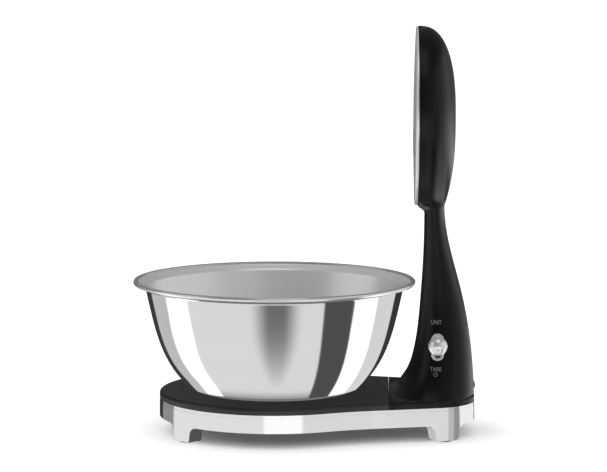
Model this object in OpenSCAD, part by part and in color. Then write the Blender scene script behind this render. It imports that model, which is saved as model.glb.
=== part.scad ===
// Kitchen scale: a round weighing platform with a steel bowl on a cast base,
// and a hollow column at the back that carries the dial, the lever and the cells.
// Millimetres, +Z up, floor at z = 0.  The bowl axis is the origin of the working
// frame; the whole scale is then shifted so that the origin is under its middle.

/* [Bowl] */
// Diameter over the rolled rim (mm)
bowl_d = 224; // [200:1:245]
// Height of the bowl from its base to the top of the rim (mm)
bowl_h = 88.6; // [70:0.2:110]
// Diameter of the flat base of the bowl (mm)
bowl_base_d = 122; // [100:1:140]
// Thickness of the bowl sheet (mm)
bowl_wall = 1.1; // [0.8:0.1:2]
// Radius of the rolled rim (mm)
rim_r = 1.8; // [1.4:0.1:2.6]
// Width of the flange between the bowl wall and the rim (mm)
flange_w = 6; // [4:0.5:9]

/* [Base] */
// Diameter of the round front part of the base (mm)
platform_d = 183; // [165:1:200]
// How far the rear part reaches behind the round part (mm)
tail_l = 67.4; // [58:0.2:78]
// Angle of the tapering sides of the rear part (degrees)
tail_angle = 15; // [12:0.5:17]
// Radius of the waist between round part and rear part (mm)
waist_r = 200; // [150:5:260]
// Height of the bright band of the base (mm)
band_h = 14.1; // [12:0.1:18]
// Wall thickness of the base casting (mm)
band_wall = 3; // [2.5:0.1:4]
// Height of the legs under the band (mm)
leg_h = 12.2; // [9:0.1:16]
// Width of a leg at its bottom (mm)
leg_w = 20; // [16:0.5:26]
// Depth of a leg towards the inside (mm)
leg_t = 12; // [10.5:0.5:15]
// Radius of the fillet between leg and band (mm)
leg_fillet = 7; // [4:0.5:9]
// Rubber pad diameter (mm)
pad_d = 9; // [7:0.5:10]
// Height of the rubber pads below the legs (mm)
pad_h = 1; // [0.6:0.1:2]

/* [Platform] */
// Height of the platform top above the base casting (mm)
slab_h = 5.7; // [4.5:0.1:8]
// Thickness of the platform moulding (mm)
slab_wall = 2.5; // [2:0.1:3]
// Rounding of the upper platform edge (mm)
shoulder_r = 2.2; // [1:0.1:3]
// Air gap between the platform and the base casting (mm)
float_gap = 0.5; // [0.4:0.05:0.9]
// Width of the seam between platform and column foot (mm)
seam_gap = 0.6; // [0.5:0.05:1.2]
// Distance from the bowl axis to the seam (mm)
seam_x = 89.8; // [86:0.2:94]

/* [Column] */
// Height of the dial centre above the platform top (mm)
head_rise = 218.6; // [190:0.2:250]
// Diameter of the round head (mm)
head_d = 142; // [125:1:155]
// Depth of the domed head behind the dial (mm)
head_depth = 29.8; // [25:0.2:36]
// Distance from the bowl axis to the back of the dial (mm)
face_x = 113.1; // [108:0.2:116]
// Distance the neck stands behind the dial plane (mm)
chin_step = 5.5; // [4:0.1:7]
// Width of the neck (mm)
neck_w = 57.6; // [50:0.2:70]
// Width of the column where it meets the base (mm)
foot_w = 109; // [96:0.5:112]
// Squareness of the column section
column_n = 2.35; // [2.1:0.05:2.6]
// Squareness of the domed head
head_n = 2.55; // [2.2:0.05:3]
// Wall thickness of the column moulding (mm)
column_wall = 2.5; // [2:0.1:3]

/* [Dial] */
// Thickness of the dial cover at the top edge (mm)
cover_top = 1.7; // [1.4:0.1:2.4]
// Thickness of the dial cover at the bottom edge (mm)
cover_bottom = 3.4; // [2.6:0.1:4.4]
// Height of the dome of the dial cover (mm)
cover_dome = 1.8; // [0.8:0.1:3]
// Sheet thickness of the dial cover (mm)
cover_wall = 1.2; // [1:0.1:1.3]
// Width of the display window (mm)
window_w = 58; // [46:1:66]
// Height of the display window (mm)
window_h = 22; // [18:0.5:26]
// How far the window centre lies below the dial centre (mm)
window_drop = 20; // [14:1:26]

/* [Lever] */
// Diameter of the ball knob (mm)
knob_d = 15; // [12:0.5:17]
// Distance from the lever plate to the knob centre (mm)
knob_reach = 10; // [9.5:0.5:14]
// Width of the lever plate (mm)
plate_w = 10; // [9:0.2:13]
// Height of the lever plate (mm)
plate_h = 22; // [19:0.5:25]
// Height of the lever plate above the platform top (mm)
lever_rise = 40.1; // [34:0.2:50]
// Distance from the bowl axis to the lever (mm)
lever_x = 129; // [127:0.2:131]
// Lever stem diameter (mm)
stem_d = 4; // [3:0.2:4.6]
// Diameter of the lever pivot pin (mm)
pivot_d = 3; // [2.5:0.1:4]
// Radial play of the lever pivot (mm)
pivot_play = 0.05; // [0.03:0.01:0.1]

/* [Cells] */
// Diameter of one cell (mm)
cell_d = 10.5; // [10:0.1:11]
// Length of one cell (mm)
cell_l = 44.5; // [42:0.5:46]
// Distance between neighbouring cells (mm)
cell_pitch = 11.5; // [11.2:0.1:12]
// Gap around the battery door (mm)
door_gap = 0.4; // [0.3:0.05:0.8]

/* [Weighing] */
// Length of the load cell (mm)
beam_l = 70; // [60:1:80]
// Width of the load cell (mm)
beam_w = 14; // [12:0.5:16]
// Thickness of the load cell (mm)
beam_t = 6.4; // [5.4:0.1:6.6]
// Thickness of the platform carrier plate (mm)
carrier_t = 1.6; // [1.2:0.1:1.8]
// Length of one arm pair of the platform carrier (mm)
carrier_l = 136; // [124:1:142]

/* [Hidden] */
$fn = 72;
eps = 0.01;
plan_r = platform_d / 2;
rear_x = plan_r + tail_l;
shift_x = (bowl_d / 2 - rear_x) / 2;

// heights
band_z0 = pad_h + leg_h;
band_z1 = band_z0 + band_h;
top_z = band_z1 + slab_h;
head_r = head_d / 2;
head_z = top_z + head_rise;
chin_z = head_z - head_r;
ledge_t = 1.8;
ledge_w = 6;
ledge_z = band_z0 + ledge_t;
tray_t = 2;
tray_z0 = ledge_z + ledge_t;
tray_z1 = tray_z0 + tray_t;
tray_gap = 0.3;
boss_h = 2.1;
top_skin = 1.1;
tip_gap = 0.1;
carrier_z1 = top_z - slab_wall - boss_h;
carrier_z0 = carrier_z1 - carrier_t;
beam_pad = (carrier_z0 - tray_z1 - beam_t) / 2;
beam_z0 = tray_z1 + beam_pad;
beam_z1 = beam_z0 + beam_t;
beam_pad_l = 20;

// how far the mouldings stand inside the outline of the base, and how much the
// seam edge draws back over the height of the shoulder
edge_in = 0.1;
seam_ease = 0.4;

// plan of the base: a disc, a waist and a tapering tail with round corners
corner_r = 0.437 * plan_r;
corner_y = 0.164 * plan_r;
corner_x = rear_x - corner_r;
side_n = [sin(tail_angle), cos(tail_angle)];
side_m = [cos(tail_angle), -sin(tail_angle)];
side_l = side_n * [corner_x, corner_y] + corner_r;
waist_c = side_n * (side_l + waist_r)
    + side_m * sqrt(pow(plan_r + waist_r, 2) - pow(side_l + waist_r, 2));
waist_a = atan2(waist_c[1], waist_c[0]);

function flip(p) = [p[0], -p[1]];
function turned(list) = [for (i = [len(list) - 1:-1:0]) list[i]];
function arc(c, r, a0, a1, n) = [for (i = [0:n]) let (a = a0 + (a1 - a0) * i / n)
    c + r * [cos(a), sin(a)]];
function side_at(x, d) = (side_l - d - side_n[0] * x) / side_n[1];

// one half of the outline inset by d, from the front round to the back
function plan_half(d) = concat(
    arc([0, 0], plan_r - d, 180, waist_a, 46),
    [for (i = [1:6]) arc(waist_c, waist_r + d, 180 + waist_a, 270 - tail_angle, 6)[i]],
    arc([corner_x, corner_y], corner_r - d, 90 - tail_angle, 0, 20)
);

module plan(d) {
    half = plan_half(d);
    polygon(concat([for (p = half) flip(p)], [for (i = [len(half) - 1:-1:1]) half[i]]));
}

// outline of the platform (front of the seam) inset by d, the seam edge by e
function platform_ring(d, e) = let (
        x1 = seam_x - seam_gap / 2 - e,
        t = waist_a,
        half = concat(
            arc([0, 0], plan_r - d, 180, t, 30),
            [for (i = [1:5]) arc(waist_c, waist_r + d, 180 + t, 270 - tail_angle, 5)[i]],
            [[x1, side_at(x1, d)]]
        ))
    concat([for (i = [0:len(half) - 1]) flip(half[i])], [for (i = [len(half) - 1:-1:1]) half[i]]);

// outline of the column foot (behind the seam) inset by d, the seam edge by e
function foot_ring(d, e) = let (
        x0 = seam_x + seam_gap / 2 + e,
        half = concat(
            [[x0, side_at(x0, d)]],
            arc([corner_x, corner_y], corner_r - d, 90 - tail_angle, 0, 14)
        ))
    concat([for (p = half) flip(p)], turned(half));

// closed solid through a stack of rings with equal numbers of points; the ends of a
// bent strip are filled by quads between its two long sides
module skin(rings, strip = false) {
    n = len(rings[0]);
    m = len(rings);
    o = (m - 1) * n;
    polyhedron(
        points = [for (ring = rings) for (p = ring) p],
        faces = concat(
            strip ? [for (j = [0:n / 2 - 2]) [j, j + 1, n - 2 - j, n - 1 - j]]
                : [[for (j = [0:n - 1]) j]],
            [for (i = [0:m - 2]) for (j = [0:n - 1]) let (k = (j + 1) % n)
                [i * n + j, (i + 1) * n + j, (i + 1) * n + k]],
            [for (i = [0:m - 2]) for (j = [0:n - 1]) let (k = (j + 1) % n)
                [i * n + j, (i + 1) * n + k, i * n + k]],
            strip ? [for (j = [0:n / 2 - 2]) [o + n - 1 - j, o + n - 2 - j, o + j + 1, o + j]]
                : [[for (j = [n - 1:-1:0]) o + j]]
        ));
}

function lift(ring, z) = [for (p = ring) [p[0], p[1], z]];

// smooth curve through stations [place, value, slope]
function curve(st, u, i = 0) =
    i >= len(st) - 2 || u <= st[i + 1][0]
    ? let (h = st[i + 1][0] - st[i][0], t = (u - st[i][0]) / h)
        st[i][1] * (1 + 2 * t) * pow(1 - t, 2) + st[i + 1][1] * t * t * (3 - 2 * t)
        + h * (st[i][2] * t * pow(1 - t, 2) + st[i + 1][2] * t * t * (t - 1))
    : curve(st, u, i + 1);
function smooth(t) = let (c = min(1, max(0, t))) c * c * (3 - 2 * c);

// share of the way from foot to neck, against the share of the height
front_line = [[0, 0, 11], [0.07, 0.37, 4.2], [0.2, 0.68, 1.33], [0.51, 0.9, 0.42],
    [0.86, 0.996, 0.08], [1, 1, 0]];
rear_line = [[0, 0, 0.2], [0.51, 0.39, 1.43], [1, 1, 0]];
side_line = [[0, 0, 5], [0.08, 0.3, 2.7], [0.25, 0.61, 1.3], [0.52, 0.88, 0.6], [1, 1, 0]];
chin_share = 0.2785;
chin_power = 2.75;
foot_x = seam_x + 2.2;
neck_x0 = face_x + chin_step;
neck_x1 = face_x + (1 - chin_share) * head_depth;
wide_share = 0.42;
ring_n = 36;

function rise(z) = (min(z, chin_z) - top_z) / (chin_z - top_z);
function fall(z) = (z - head_z) / head_r;
function front_x(z) = foot_x + (neck_x0 - foot_x) * curve(front_line, max(0, rise(z)));
function back_x(z) = z < chin_z
    ? rear_x + (neck_x1 - rear_x) * curve(rear_line, max(0, rise(z)))
    : let (v = fall(z)) face_x + head_depth * (v < 0
        ? 1 - chin_share * pow(-v, chin_power)
        : pow(max(0, 1 - pow(v, head_n)), 1 / head_n));
function side_y(z) = let (
        neck = foot_w / 2 + (neck_w - foot_w) / 2 * curve(side_line, max(0, rise(z))),
        disc = z > chin_z ? sqrt(max(0, head_r * head_r - pow(z - head_z, 2))) : 0)
    z > head_z ? disc : pow(pow(neck, 8) + pow(disc, 8), 1 / 8);
function on_disc(y, z) = z < chin_z - 12 ? 0
    : 1 - smooth((norm([y, z - head_z]) - head_r + 0.6) / 6);
function wide_x(z) = let (
        w = on_disc(side_y(z), z),
        x0 = front_x(z))
    w * (face_x + 0.8) + (1 - w) * (x0 + wide_share * (back_x(z) - x0));

// one point of the column surface, inset by d, at height z and angle a
function column_point(z, a, d) = let (
        n = z < chin_z ? column_n : column_n + (head_n - column_n) * smooth((z - chin_z) / head_r),
        b = max(0.05, side_y(z) - d),
        c = cos(a),
        s = sin(a),
        y = b * sign(s) * pow(abs(s), 2 / n),
        xm = wide_x(z),
        w = on_disc(y, z),
        x0 = front_x(z) + d,
        neck = xm - (xm - x0) * pow(abs(c), 2 / n),
        flat = min(xm, face_x + d + 0.8 * pow(abs(y) / b, 8)))
    [c >= 0 ? xm + max(0, back_x(z) - d - xm) * pow(c, 2 / n)
        : w * flat + (1 - w) * neck, y, z];
function column_ring(z, d, zz) = [for (i = [0:ring_n - 1])
    let (p = column_point(z, 360 * i / ring_n, d)) [p[0], p[1], zz]];

neck_levels = 22;
head_levels = 22;
column_z0 = top_z - slab_wall + 0.1;
function level_z(i) = i <= neck_levels
    ? top_z + (chin_z - top_z) * (1 - cos(180 * i / neck_levels)) / 2
    : head_z - head_r * cos(180 * min(head_levels - 0.4, i - neck_levels) / head_levels);
function inner_z(z) = z < head_z ? z : head_z + (z - head_z) * (head_r - column_wall) / head_r;
level_n = neck_levels + head_levels;

// hollow column: outer skin up, inner skin back down, joined at the foot
module column_shell() {
    outer = concat([column_ring(top_z, 0, column_z0)],
        [for (i = [0:level_n]) let (z = level_z(i)) column_ring(z, 0, z)]);
    inner = concat([column_ring(top_z, column_wall, column_z0)],
        [for (i = [0:level_n - 1]) let (z = level_z(i)) column_ring(z, column_wall, inner_z(z))]);
    n = ring_n;
    m = len(outer);
    k = len(inner);
    o = n * m;
    polyhedron(
        points = concat([for (r = outer) for (p = r) p], [for (r = inner) for (p = r) p]),
        faces = concat(
            [for (i = [0:m - 2]) for (j = [0:n - 1]) let (q = (j + 1) % n)
                [i * n + j, (i + 1) * n + j, (i + 1) * n + q]],
            [for (i = [0:m - 2]) for (j = [0:n - 1]) let (q = (j + 1) % n)
                [i * n + j, (i + 1) * n + q, i * n + q]],
            [[for (j = [n - 1:-1:0]) (m - 1) * n + j]],
            [for (i = [0:k - 2]) for (j = [0:n - 1]) let (q = (j + 1) % n)
                [o + i * n + j, o + (i + 1) * n + q, o + (i + 1) * n + j]],
            [for (i = [0:k - 2]) for (j = [0:n - 1]) let (q = (j + 1) % n)
                [o + i * n + j, o + i * n + q, o + (i + 1) * n + q]],
            [[for (j = [0:n - 1]) o + (k - 1) * n + j]],
            [for (j = [0:n - 1]) let (q = (j + 1) % n) [j, q, o + q]],
            [for (j = [0:n - 1]) let (q = (j + 1) % n) [j, o + q, o + j]]
        ));
}

// ---- lever place on the side of the column ----
lever_z = top_z + lever_rise;
lever_y = -side_y(lever_z);
lever_tilt = atan((side_y(lever_z - 5) - side_y(lever_z + 5)) / 10);
pivot_depth = 9.7;
pivot_l = 10;
yoke_front = 6.3;
yoke_back = 18.2;
yoke_h = 18;
yoke_slot = 6.4;
slot_w = stem_d + 1.2;
slot_h = 13;
plate_play = 0.1;
hub_d = 6;
hub_l = 5;

module at_lever() {
    translate([shift_x + lever_x, lever_y, lever_z])
        rotate([-lever_tilt, 0, 0])
            children();
}

// upright oval prism along y from y0 to y1
module oval(w, h, y0, y1) {
    translate([0, y1, 0])
        rotate([90, 0, 0])
            linear_extrude(y1 - y0) {
                for (s = [-1, 1])
                    translate([0, s * (h - w) / 2])
                        circle(d = w);
                square([w, h - w], center = true);
            }
}

// ---- dial place on the head; local z points out of the dial ----
cover_r = head_r - 0.4;
cover_lean = atan((cover_bottom - cover_top) / head_d);
cover_mid = (cover_bottom + cover_top) / 2;
spigot_r = head_r - 5;
spigot_l = 5;
spigot_wall = 1.6;
spigot_step = 0.8;
window_play = 0.15;

module at_dial() {
    translate([shift_x + face_x, 0, head_z])
        rotate([0, -90, 0])
            rotate([0, 0, -90])
                children();
}

// leaning dome of the dial cover, thicker at the bottom, set back by lower
module dome(r, lower) {
    n = 72;
    rings = 7;
    skin(concat(
        [lift(arc([0, 0], r, 0, 360 - 360 / n, n - 1), 0)],
        [for (i = [rings:-1:1]) let (rho = r * i / rings)
            [for (p = arc([0, 0], rho, 0, 360 - 360 / n, n - 1))
                [p[0], p[1], cover_mid - p[1] * tan(cover_lean) - lower
                    + cover_dome * (1 - pow(rho / cover_r, 2))]]]
    ));
}

module window_shape(play, h) {
    r = 3;
    translate([0, -window_drop, 0])
        linear_extrude(h) {
            square([window_w + 2 * play, window_h + 2 * play - 2 * r], center = true);
            square([window_w + 2 * play - 2 * r, window_h + 2 * play], center = true);
            for (x = [-1, 1], y = [-1, 1])
                translate([x * (window_w / 2 + play - r), y * (window_h / 2 + play - r)])
                    circle(r = r);
        }
}

// ---- screws ----
driver_t = 0.8;
module screw(d, l, head_d, head_h) {
    translate([0, 0, -head_h])
        difference() {
            cylinder(d = head_d, h = head_h);
            translate([0, 0, -eps])
                for (a = [0, 90])
                    rotate(a)
                        translate([-head_d * 0.3, -driver_t / 2, 0])
                            cube([head_d * 0.6, driver_t, head_h * 0.5]);
        }
    cylinder(d = d, h = l);
}
screw_d = 3;
pilot_d = 2.8;
clear_d = 3.4;
thread_play = 0.05;
head_dia = 5.6;
head_hgt = 1.7;

ledge_screws = concat(
    [for (a = [85, 130, 230, 275]) (plan_r - band_wall - ledge_w / 2) * [cos(a), sin(a)]],
    [for (s = [-1, 1]) [corner_x, s * corner_y]
        + (corner_r - band_wall - ledge_w / 2) * [cos(20), s * sin(20)]],
    [for (s = [-1, 1]) [seam_x, s * (side_at(seam_x, band_wall + ledge_w / 2))]]
);
foot_screw_l = 10;
rear_inset = 8.8;
front_inset = 12;
front_side = 12.4;
post_d = 9;
rear_post_d = 7.2;
rib_t = 2.4;
foot_screws = concat(
    [for (s = [-1, 1]) [seam_x + front_inset, s * side_at(seam_x + front_inset, front_side)]],
    [for (s = [-1, 1]) [rear_x - rear_inset, s * corner_y]]
);
beam_fixed = [for (k = [0, 1]) [beam_l / 2 - 5 - 10 * k, 0]];
beam_free = [for (k = [0, 1]) [-beam_l / 2 + 5 + 10 * k, 0]];
carrier_ends = [for (a = [45:90:315]) (carrier_l / 2 - 7) * [cos(a), sin(a)]];
stop_ends = [for (a = [45:90:315]) (carrier_l / 2 - 20) * [cos(a), sin(a)]];
stop_gap = 0.7;
stop_d = 4;

// ================= base =================
front_leg_a = 39;
rear_leg_a = 62;
legs = [[[0, 0], plan_r, 180 - front_leg_a], [[0, 0], plan_r, 180 + front_leg_a],
    [[corner_x, corner_y], corner_r, rear_leg_a], [[corner_x, -corner_y], corner_r, -rear_leg_a]];
pad_in = 1.5;
pad_flare = 0.6;

module at_leg(i) {
    translate([shift_x + legs[i][0][0], legs[i][0][1], 0])
        rotate(legs[i][2])
            children();
}
function pad_at(i) = legs[i][1] - leg_t / 2;

// front view of a leg, drawn outwards far enough to cross the whole band
module leg_profile(r) {
    half = leg_w / 2;
    lean = 1.6;
    toe = 1.5;
    fillet_cross = 0.05;
    over = 1;
    toe_z = pad_h + toe;
    root_z = band_z0 - leg_fillet;
    side = half + lean * (root_z - toe_z) / (band_z0 + over - toe_z);
    rotate([90, 0, 90])
        linear_extrude(r + 6) {
            polygon([[-half + toe, pad_h], [half - toe, pad_h], [half, toe_z],
                [half + lean, band_z0 + over], [-half - lean, band_z0 + over],
                [-half, toe_z]]);
            for (s = [-1, 1])
                difference() {
                    translate([s * (side + (leg_fillet - over) / 2), root_z + (leg_fillet + over) / 2])
                        square([leg_fillet + over, leg_fillet + over], center = true);
                    translate([s * (side + leg_fillet), root_z])
                        circle(r = leg_fillet + fillet_cross);
                }
        }
}

module base_frame() {
    lip = 2.4;
    lip_in = 0.3;
    color("silver") difference() {
        union() {
            translate([shift_x, 0, 0]) {
                translate([0, 0, band_z0])
                    linear_extrude(band_h - lip)
                        plan(0);
                translate([0, 0, band_z1 - lip - eps])
                    linear_extrude(lip + eps)
                        plan(lip_in);
            }
            intersection() {
                translate([shift_x, 0, 0])
                    linear_extrude(band_z1 / 2)
                        difference() {
                            plan(0);
                            plan(leg_t);
                        }
                for (i = [0:3])
                    at_leg(i)
                        leg_profile(legs[i][1]);
            }
        }
        translate([shift_x, 0, 0]) {
            translate([0, 0, tray_z0])
                linear_extrude(band_h)
                    plan(band_wall);
            translate([0, 0, band_z0 - eps])
                linear_extrude(ledge_z - band_z0 + eps)
                    plan(leg_t + 0.5);
            translate([0, 0, ledge_z - eps])
                linear_extrude(band_h)
                    plan(band_wall + ledge_w);
            for (p = ledge_screws)
                translate([p[0], p[1], 0]) {
                    cylinder(d = clear_d, h = band_z1);
                    cylinder(d = head_dia + 1, h = ledge_z);
                }
            for (p = foot_screws)
                translate([p[0], p[1], 0])
                    cylinder(d = head_dia + 1, h = tray_z0);
        }
        for (i = [0:3])
            at_leg(i)
                translate([pad_at(i), 0, 0])
                    cylinder(d = pad_d, h = pad_h + pad_in);
    }
}

module foot_pad(i) {
    color("dimgray") at_leg(i)
        translate([pad_at(i), 0, 0]) {
            cylinder(d = pad_d, h = pad_h + pad_in);
            cylinder(d1 = pad_d + pad_flare, d2 = pad_d + 1, h = pad_h - 0.1);
        }
}

module chassis_tray() {
    inset = band_wall + tray_gap;
    rim_h = 3;
    rim_t = 1.6;
    stop_h = carrier_z0 - stop_gap - 2 - tray_z1;
    color("darkslategray") translate([shift_x, 0, 0]) difference() {
        union() {
            translate([0, 0, tray_z0])
                linear_extrude(tray_t)
                    plan(inset);
            translate([0, 0, tray_z1 - eps])
                linear_extrude(rim_h)
                    difference() {
                        plan(inset);
                        plan(inset + rim_t);
                    }
            translate([beam_l / 2 - beam_pad_l, -beam_w / 2, tray_z1 - eps])
                cube([beam_pad_l, beam_w, beam_pad + eps]);
            for (p = stop_ends)
                translate([p[0], p[1], tray_z1 - eps])
                    cylinder(d = stop_d + 4, h = stop_h);
            for (p = board_posts)
                translate([p[0], p[1], tray_z1 - eps])
                    cylinder(d = board_post_d, h = board_lift + eps);
        }
        for (p = ledge_screws)
            translate([p[0], p[1], 0])
                cylinder(d = pilot_d, h = band_z1);
        for (p = foot_screws)
            translate([p[0], p[1], 0])
                cylinder(d = clear_d, h = band_z1);
        for (p = beam_fixed)
            translate([p[0], p[1], 0])
                cylinder(d = clear_d, h = band_z1);
        for (p = stop_ends)
            translate([p[0], p[1], 0])
                cylinder(d = stop_d, h = band_z1);
        for (p = board_posts)
            translate([p[0], p[1], tray_z1])
                cylinder(d = board_pilot_d, h = board_lift + 1);
    }
}

module ledge_screw_set() {
    color("gray") for (p = ledge_screws)
        translate([shift_x + p[0], p[1], ledge_z])
            screw(pilot_d, ledge_t + tray_t + 1, head_dia, head_hgt);
}

module column_screw_set() {
    color("gray") for (p = foot_screws)
        translate([shift_x + p[0], p[1], tray_z0])
            screw(screw_d, foot_screw_l, head_dia, head_hgt);
}

// ================= weighing =================
module load_cell() {
    bore = beam_t * 0.56;
    bore_x = 8;
    slot = 1.6;
    color("lightgray") translate([shift_x, 0, 0]) difference() {
        translate([-beam_l / 2, -beam_w / 2, beam_z0])
            cube([beam_l, beam_w, beam_t]);
        for (s = [-1, 1])
            translate([s * bore_x, 0, beam_z0 + beam_t / 2])
                rotate([90, 0, 0])
                    cylinder(d = bore, h = 2 * beam_w, center = true);
        translate([-bore_x, -beam_w, beam_z0 + (beam_t - slot) / 2])
            cube([2 * bore_x, 2 * beam_w, slot]);
        for (p = beam_fixed)
            translate([p[0], p[1], beam_z0 - 1])
                cylinder(d = screw_d, h = beam_t + 2);
        for (p = beam_free)
            translate([p[0], p[1], beam_z0 - 1])
                cylinder(d = screw_d + 2 * thread_play, h = beam_t + 2);
    }
}

module cell_screws_fixed() {
    color("gray") for (p = beam_fixed)
        translate([shift_x + p[0], p[1], tray_z0])
            screw(screw_d, beam_z0 + beam_t - 1 - tray_z0, head_dia, head_hgt);
}

module cell_screws_free() {
    color("gray") for (p = beam_free)
        translate([shift_x + p[0], p[1], carrier_z1])
            rotate([180, 0, 0])
                screw(screw_d, carrier_z1 - beam_z0 - 1, head_dia, head_hgt);
}

module platform_carrier() {
    arm = 13;
    hub = 12;
    color("lightsteelblue") translate([shift_x, 0, 0]) difference() {
        union() {
            for (a = [45, 135])
                translate([0, 0, carrier_z0])
                    rotate(a)
                        linear_extrude(carrier_t) {
                            square([carrier_l - arm, arm], center = true);
                            for (s = [-1, 1])
                                translate([s * (carrier_l - arm) / 2, 0])
                                    circle(d = arm);
                        }
            translate([-beam_l / 2, -hub, carrier_z0])
                cube([beam_l / 2 + hub, 2 * hub, carrier_t]);
            translate([-beam_l / 2, -beam_w / 2, beam_z1])
                cube([beam_pad_l, beam_w, beam_pad + eps]);
        }
        for (p = beam_free)
            translate([p[0], p[1], beam_z1 - 1])
                cylinder(d = clear_d, h = 9);
        for (p = carrier_ends)
            translate([p[0], p[1], carrier_z0 - 1])
                cylinder(d = clear_d, h = 9);
    }
}

module carrier_screws() {
    color("gray") for (p = carrier_ends)
        translate([shift_x + p[0], p[1], carrier_z0])
            screw(pilot_d, carrier_t + boss_h + slab_wall - top_skin - tip_gap, head_dia, head_hgt);
}

module overload_stops() {
    color("gray") for (p = stop_ends)
        translate([shift_x + p[0], p[1], tray_z0 - 0.5])
            difference() {
                cylinder(d = stop_d, h = carrier_z0 - stop_gap - tray_z0 + 0.5);
                translate([-stop_d, -driver_t / 2, -eps])
                    cube([2 * stop_d, driver_t, 1]);
            }
}

// rounded edge of the slab: pairs of [height, inset]
shoulder = [for (i = [0:5]) let (a = 90 * i / 5)
    [top_z - shoulder_r + shoulder_r * sin(a), shoulder_r * (1 - cos(a))]];

module platform() {
    z0 = band_z1 + float_gap;
    boss_d = 8;
    rings = concat([[z0, edge_in]], [for (p = shoulder) [p[0], edge_in + p[1]]]);
    color([0.12, 0.12, 0.13]) translate([shift_x, 0, 0]) difference() {
        union() {
            difference() {
                skin([for (p = rings) lift(platform_ring(p[1], seam_ease * p[1] / shoulder_r), p[0])]);
                translate([0, 0, z0 - 1])
                    linear_extrude(top_z - slab_wall - z0 + 1)
                        polygon(platform_ring(slab_wall, slab_wall));
            }
            for (p = carrier_ends)
                translate([p[0], p[1], carrier_z1])
                    cylinder(d = boss_d, h = boss_h + 1);
        }
        for (p = carrier_ends)
            translate([p[0], p[1], carrier_z1 - 1])
                cylinder(d = pilot_d, h = boss_h + slab_wall - top_skin + 1);
    }
}

// ================= column =================
door_w = 39;
door_low = 5;
door_h = 50;
door_z0 = top_z + door_low;
door_z1 = door_z0 + door_h;
mouth_depth = 14;
tab_w = 16;
tab_t = 0.5;
tab_gap = 0.15;
tab_down = 4;
catch_h = 2.2;
prong_w = 10.6;
prong_t = 1.7;
prong_gap = 0.6;
prong_up = 2;
prong_root = 3.1;
prong_bite = 0.9;
prong_x = column_wall + prong_gap + prong_t;

joint_cross = 0.3;
post_cross = 0.5;
rib_l = rear_inset - 1.5;

module column_housing() {
    rings = concat([[band_z1, edge_in]], [for (p = shoulder) [p[0], edge_in + p[1]]]);
    color([0.1, 0.1, 0.11]) difference() {
        translate([shift_x, 0, 0]) union() {
            difference() {
                skin([for (p = rings)
                    lift(foot_ring(p[1], seam_ease * p[1] / shoulder_r), p[0])]);
                translate([0, 0, band_z1 - 1])
                    linear_extrude(top_z - slab_wall - band_z1 + 1)
                        polygon(foot_ring(column_wall, column_wall));
                translate([0, 0, band_z1 - 1])
                    linear_extrude(slab_h + 2)
                        polygon([for (p = column_ring(top_z, column_wall + joint_cross, 0))
                            [p[0], p[1]]]);
            }
            column_shell();
            for (i = [0, 1])
                translate([foot_screws[i][0], foot_screws[i][1], tray_z1])
                    cylinder(d = post_d, h = top_z - slab_wall + post_cross - tray_z1);
            for (i = [2, 3])
                translate([foot_screws[i][0], foot_screws[i][1], 0]) {
                    translate([0, 0, tray_z1])
                        cylinder(d = rear_post_d, h = top_z - tray_z1);
                    translate([0, -rib_t / 2, band_z1 + float_gap])
                        cube([rib_l, rib_t, slab_h - 1]);
                }
        }
        translate([shift_x, 0, 0])
            for (p = foot_screws)
                translate([p[0], p[1], tray_z1 - 1])
                    cylinder(d = screw_d, h = foot_screw_l);
        at_dial()
            translate([0, 0, -column_wall - 2])
                cylinder(r = spigot_r, h = column_wall + 3, $fn = 144);
        at_lever()
            oval(plate_w, plate_h, -10, 8);
        translate([shift_x + rear_x - mouth_depth, -door_w / 2, door_z0])
            cube([mouth_depth + 10, door_w, door_h]);
    }
}

// the door follows the column surface between two heights
module door_patch(d0, d1) {
    cols = 12;
    lines = 12;
    half = door_w / 2 - door_gap;
    zs = [for (i = [0:lines]) door_z0 + door_gap + (door_h - 2 * door_gap) * i / lines];
    skin([for (z = zs) let (
            b0 = side_y(z) - d0,
            b1 = side_y(z) - d1,
            xm = wide_x(z))
        concat(
            [for (j = [cols:-1:0]) let (y = half - 2 * half * j / cols)
                [xm + (back_x(z) - d0 - xm) * pow(1 - pow(abs(y) / b0, column_n), 1 / column_n),
                    y, z]],
            [for (j = [0:cols]) let (y = half - 2 * half * j / cols)
                [xm + (back_x(z) - d1 - xm) * pow(1 - pow(abs(y) / b1, column_n), 1 / column_n),
                    y, z]]
        )], true);
}

module battery_door() {
    x0 = back_x(door_z0) - column_wall;
    color([0.14, 0.14, 0.15]) translate([shift_x, 0, 0]) union() {
        door_patch(0, column_wall);
        translate([rear_x + tab_gap, -tab_w / 2, door_z0 - tab_down])
            cube([tab_t, tab_w, tab_down + 0.6]);
        translate([x0 + 1, -tab_w / 2, door_z0 + door_gap])
            cube([rear_x + tab_gap + tab_t - x0 - 1, tab_w, catch_h]);
        translate([back_x(door_z1) - prong_x, -prong_w / 2, door_z1 - prong_up + 0.8 - prong_root])
            cube([prong_x - column_wall + prong_bite, prong_w, prong_root]);
        translate([back_x(door_z1) - prong_x, -prong_w / 2, door_z1 - prong_up])
            cube([prong_t, prong_w, 2 * prong_up]);
    }
}

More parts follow.
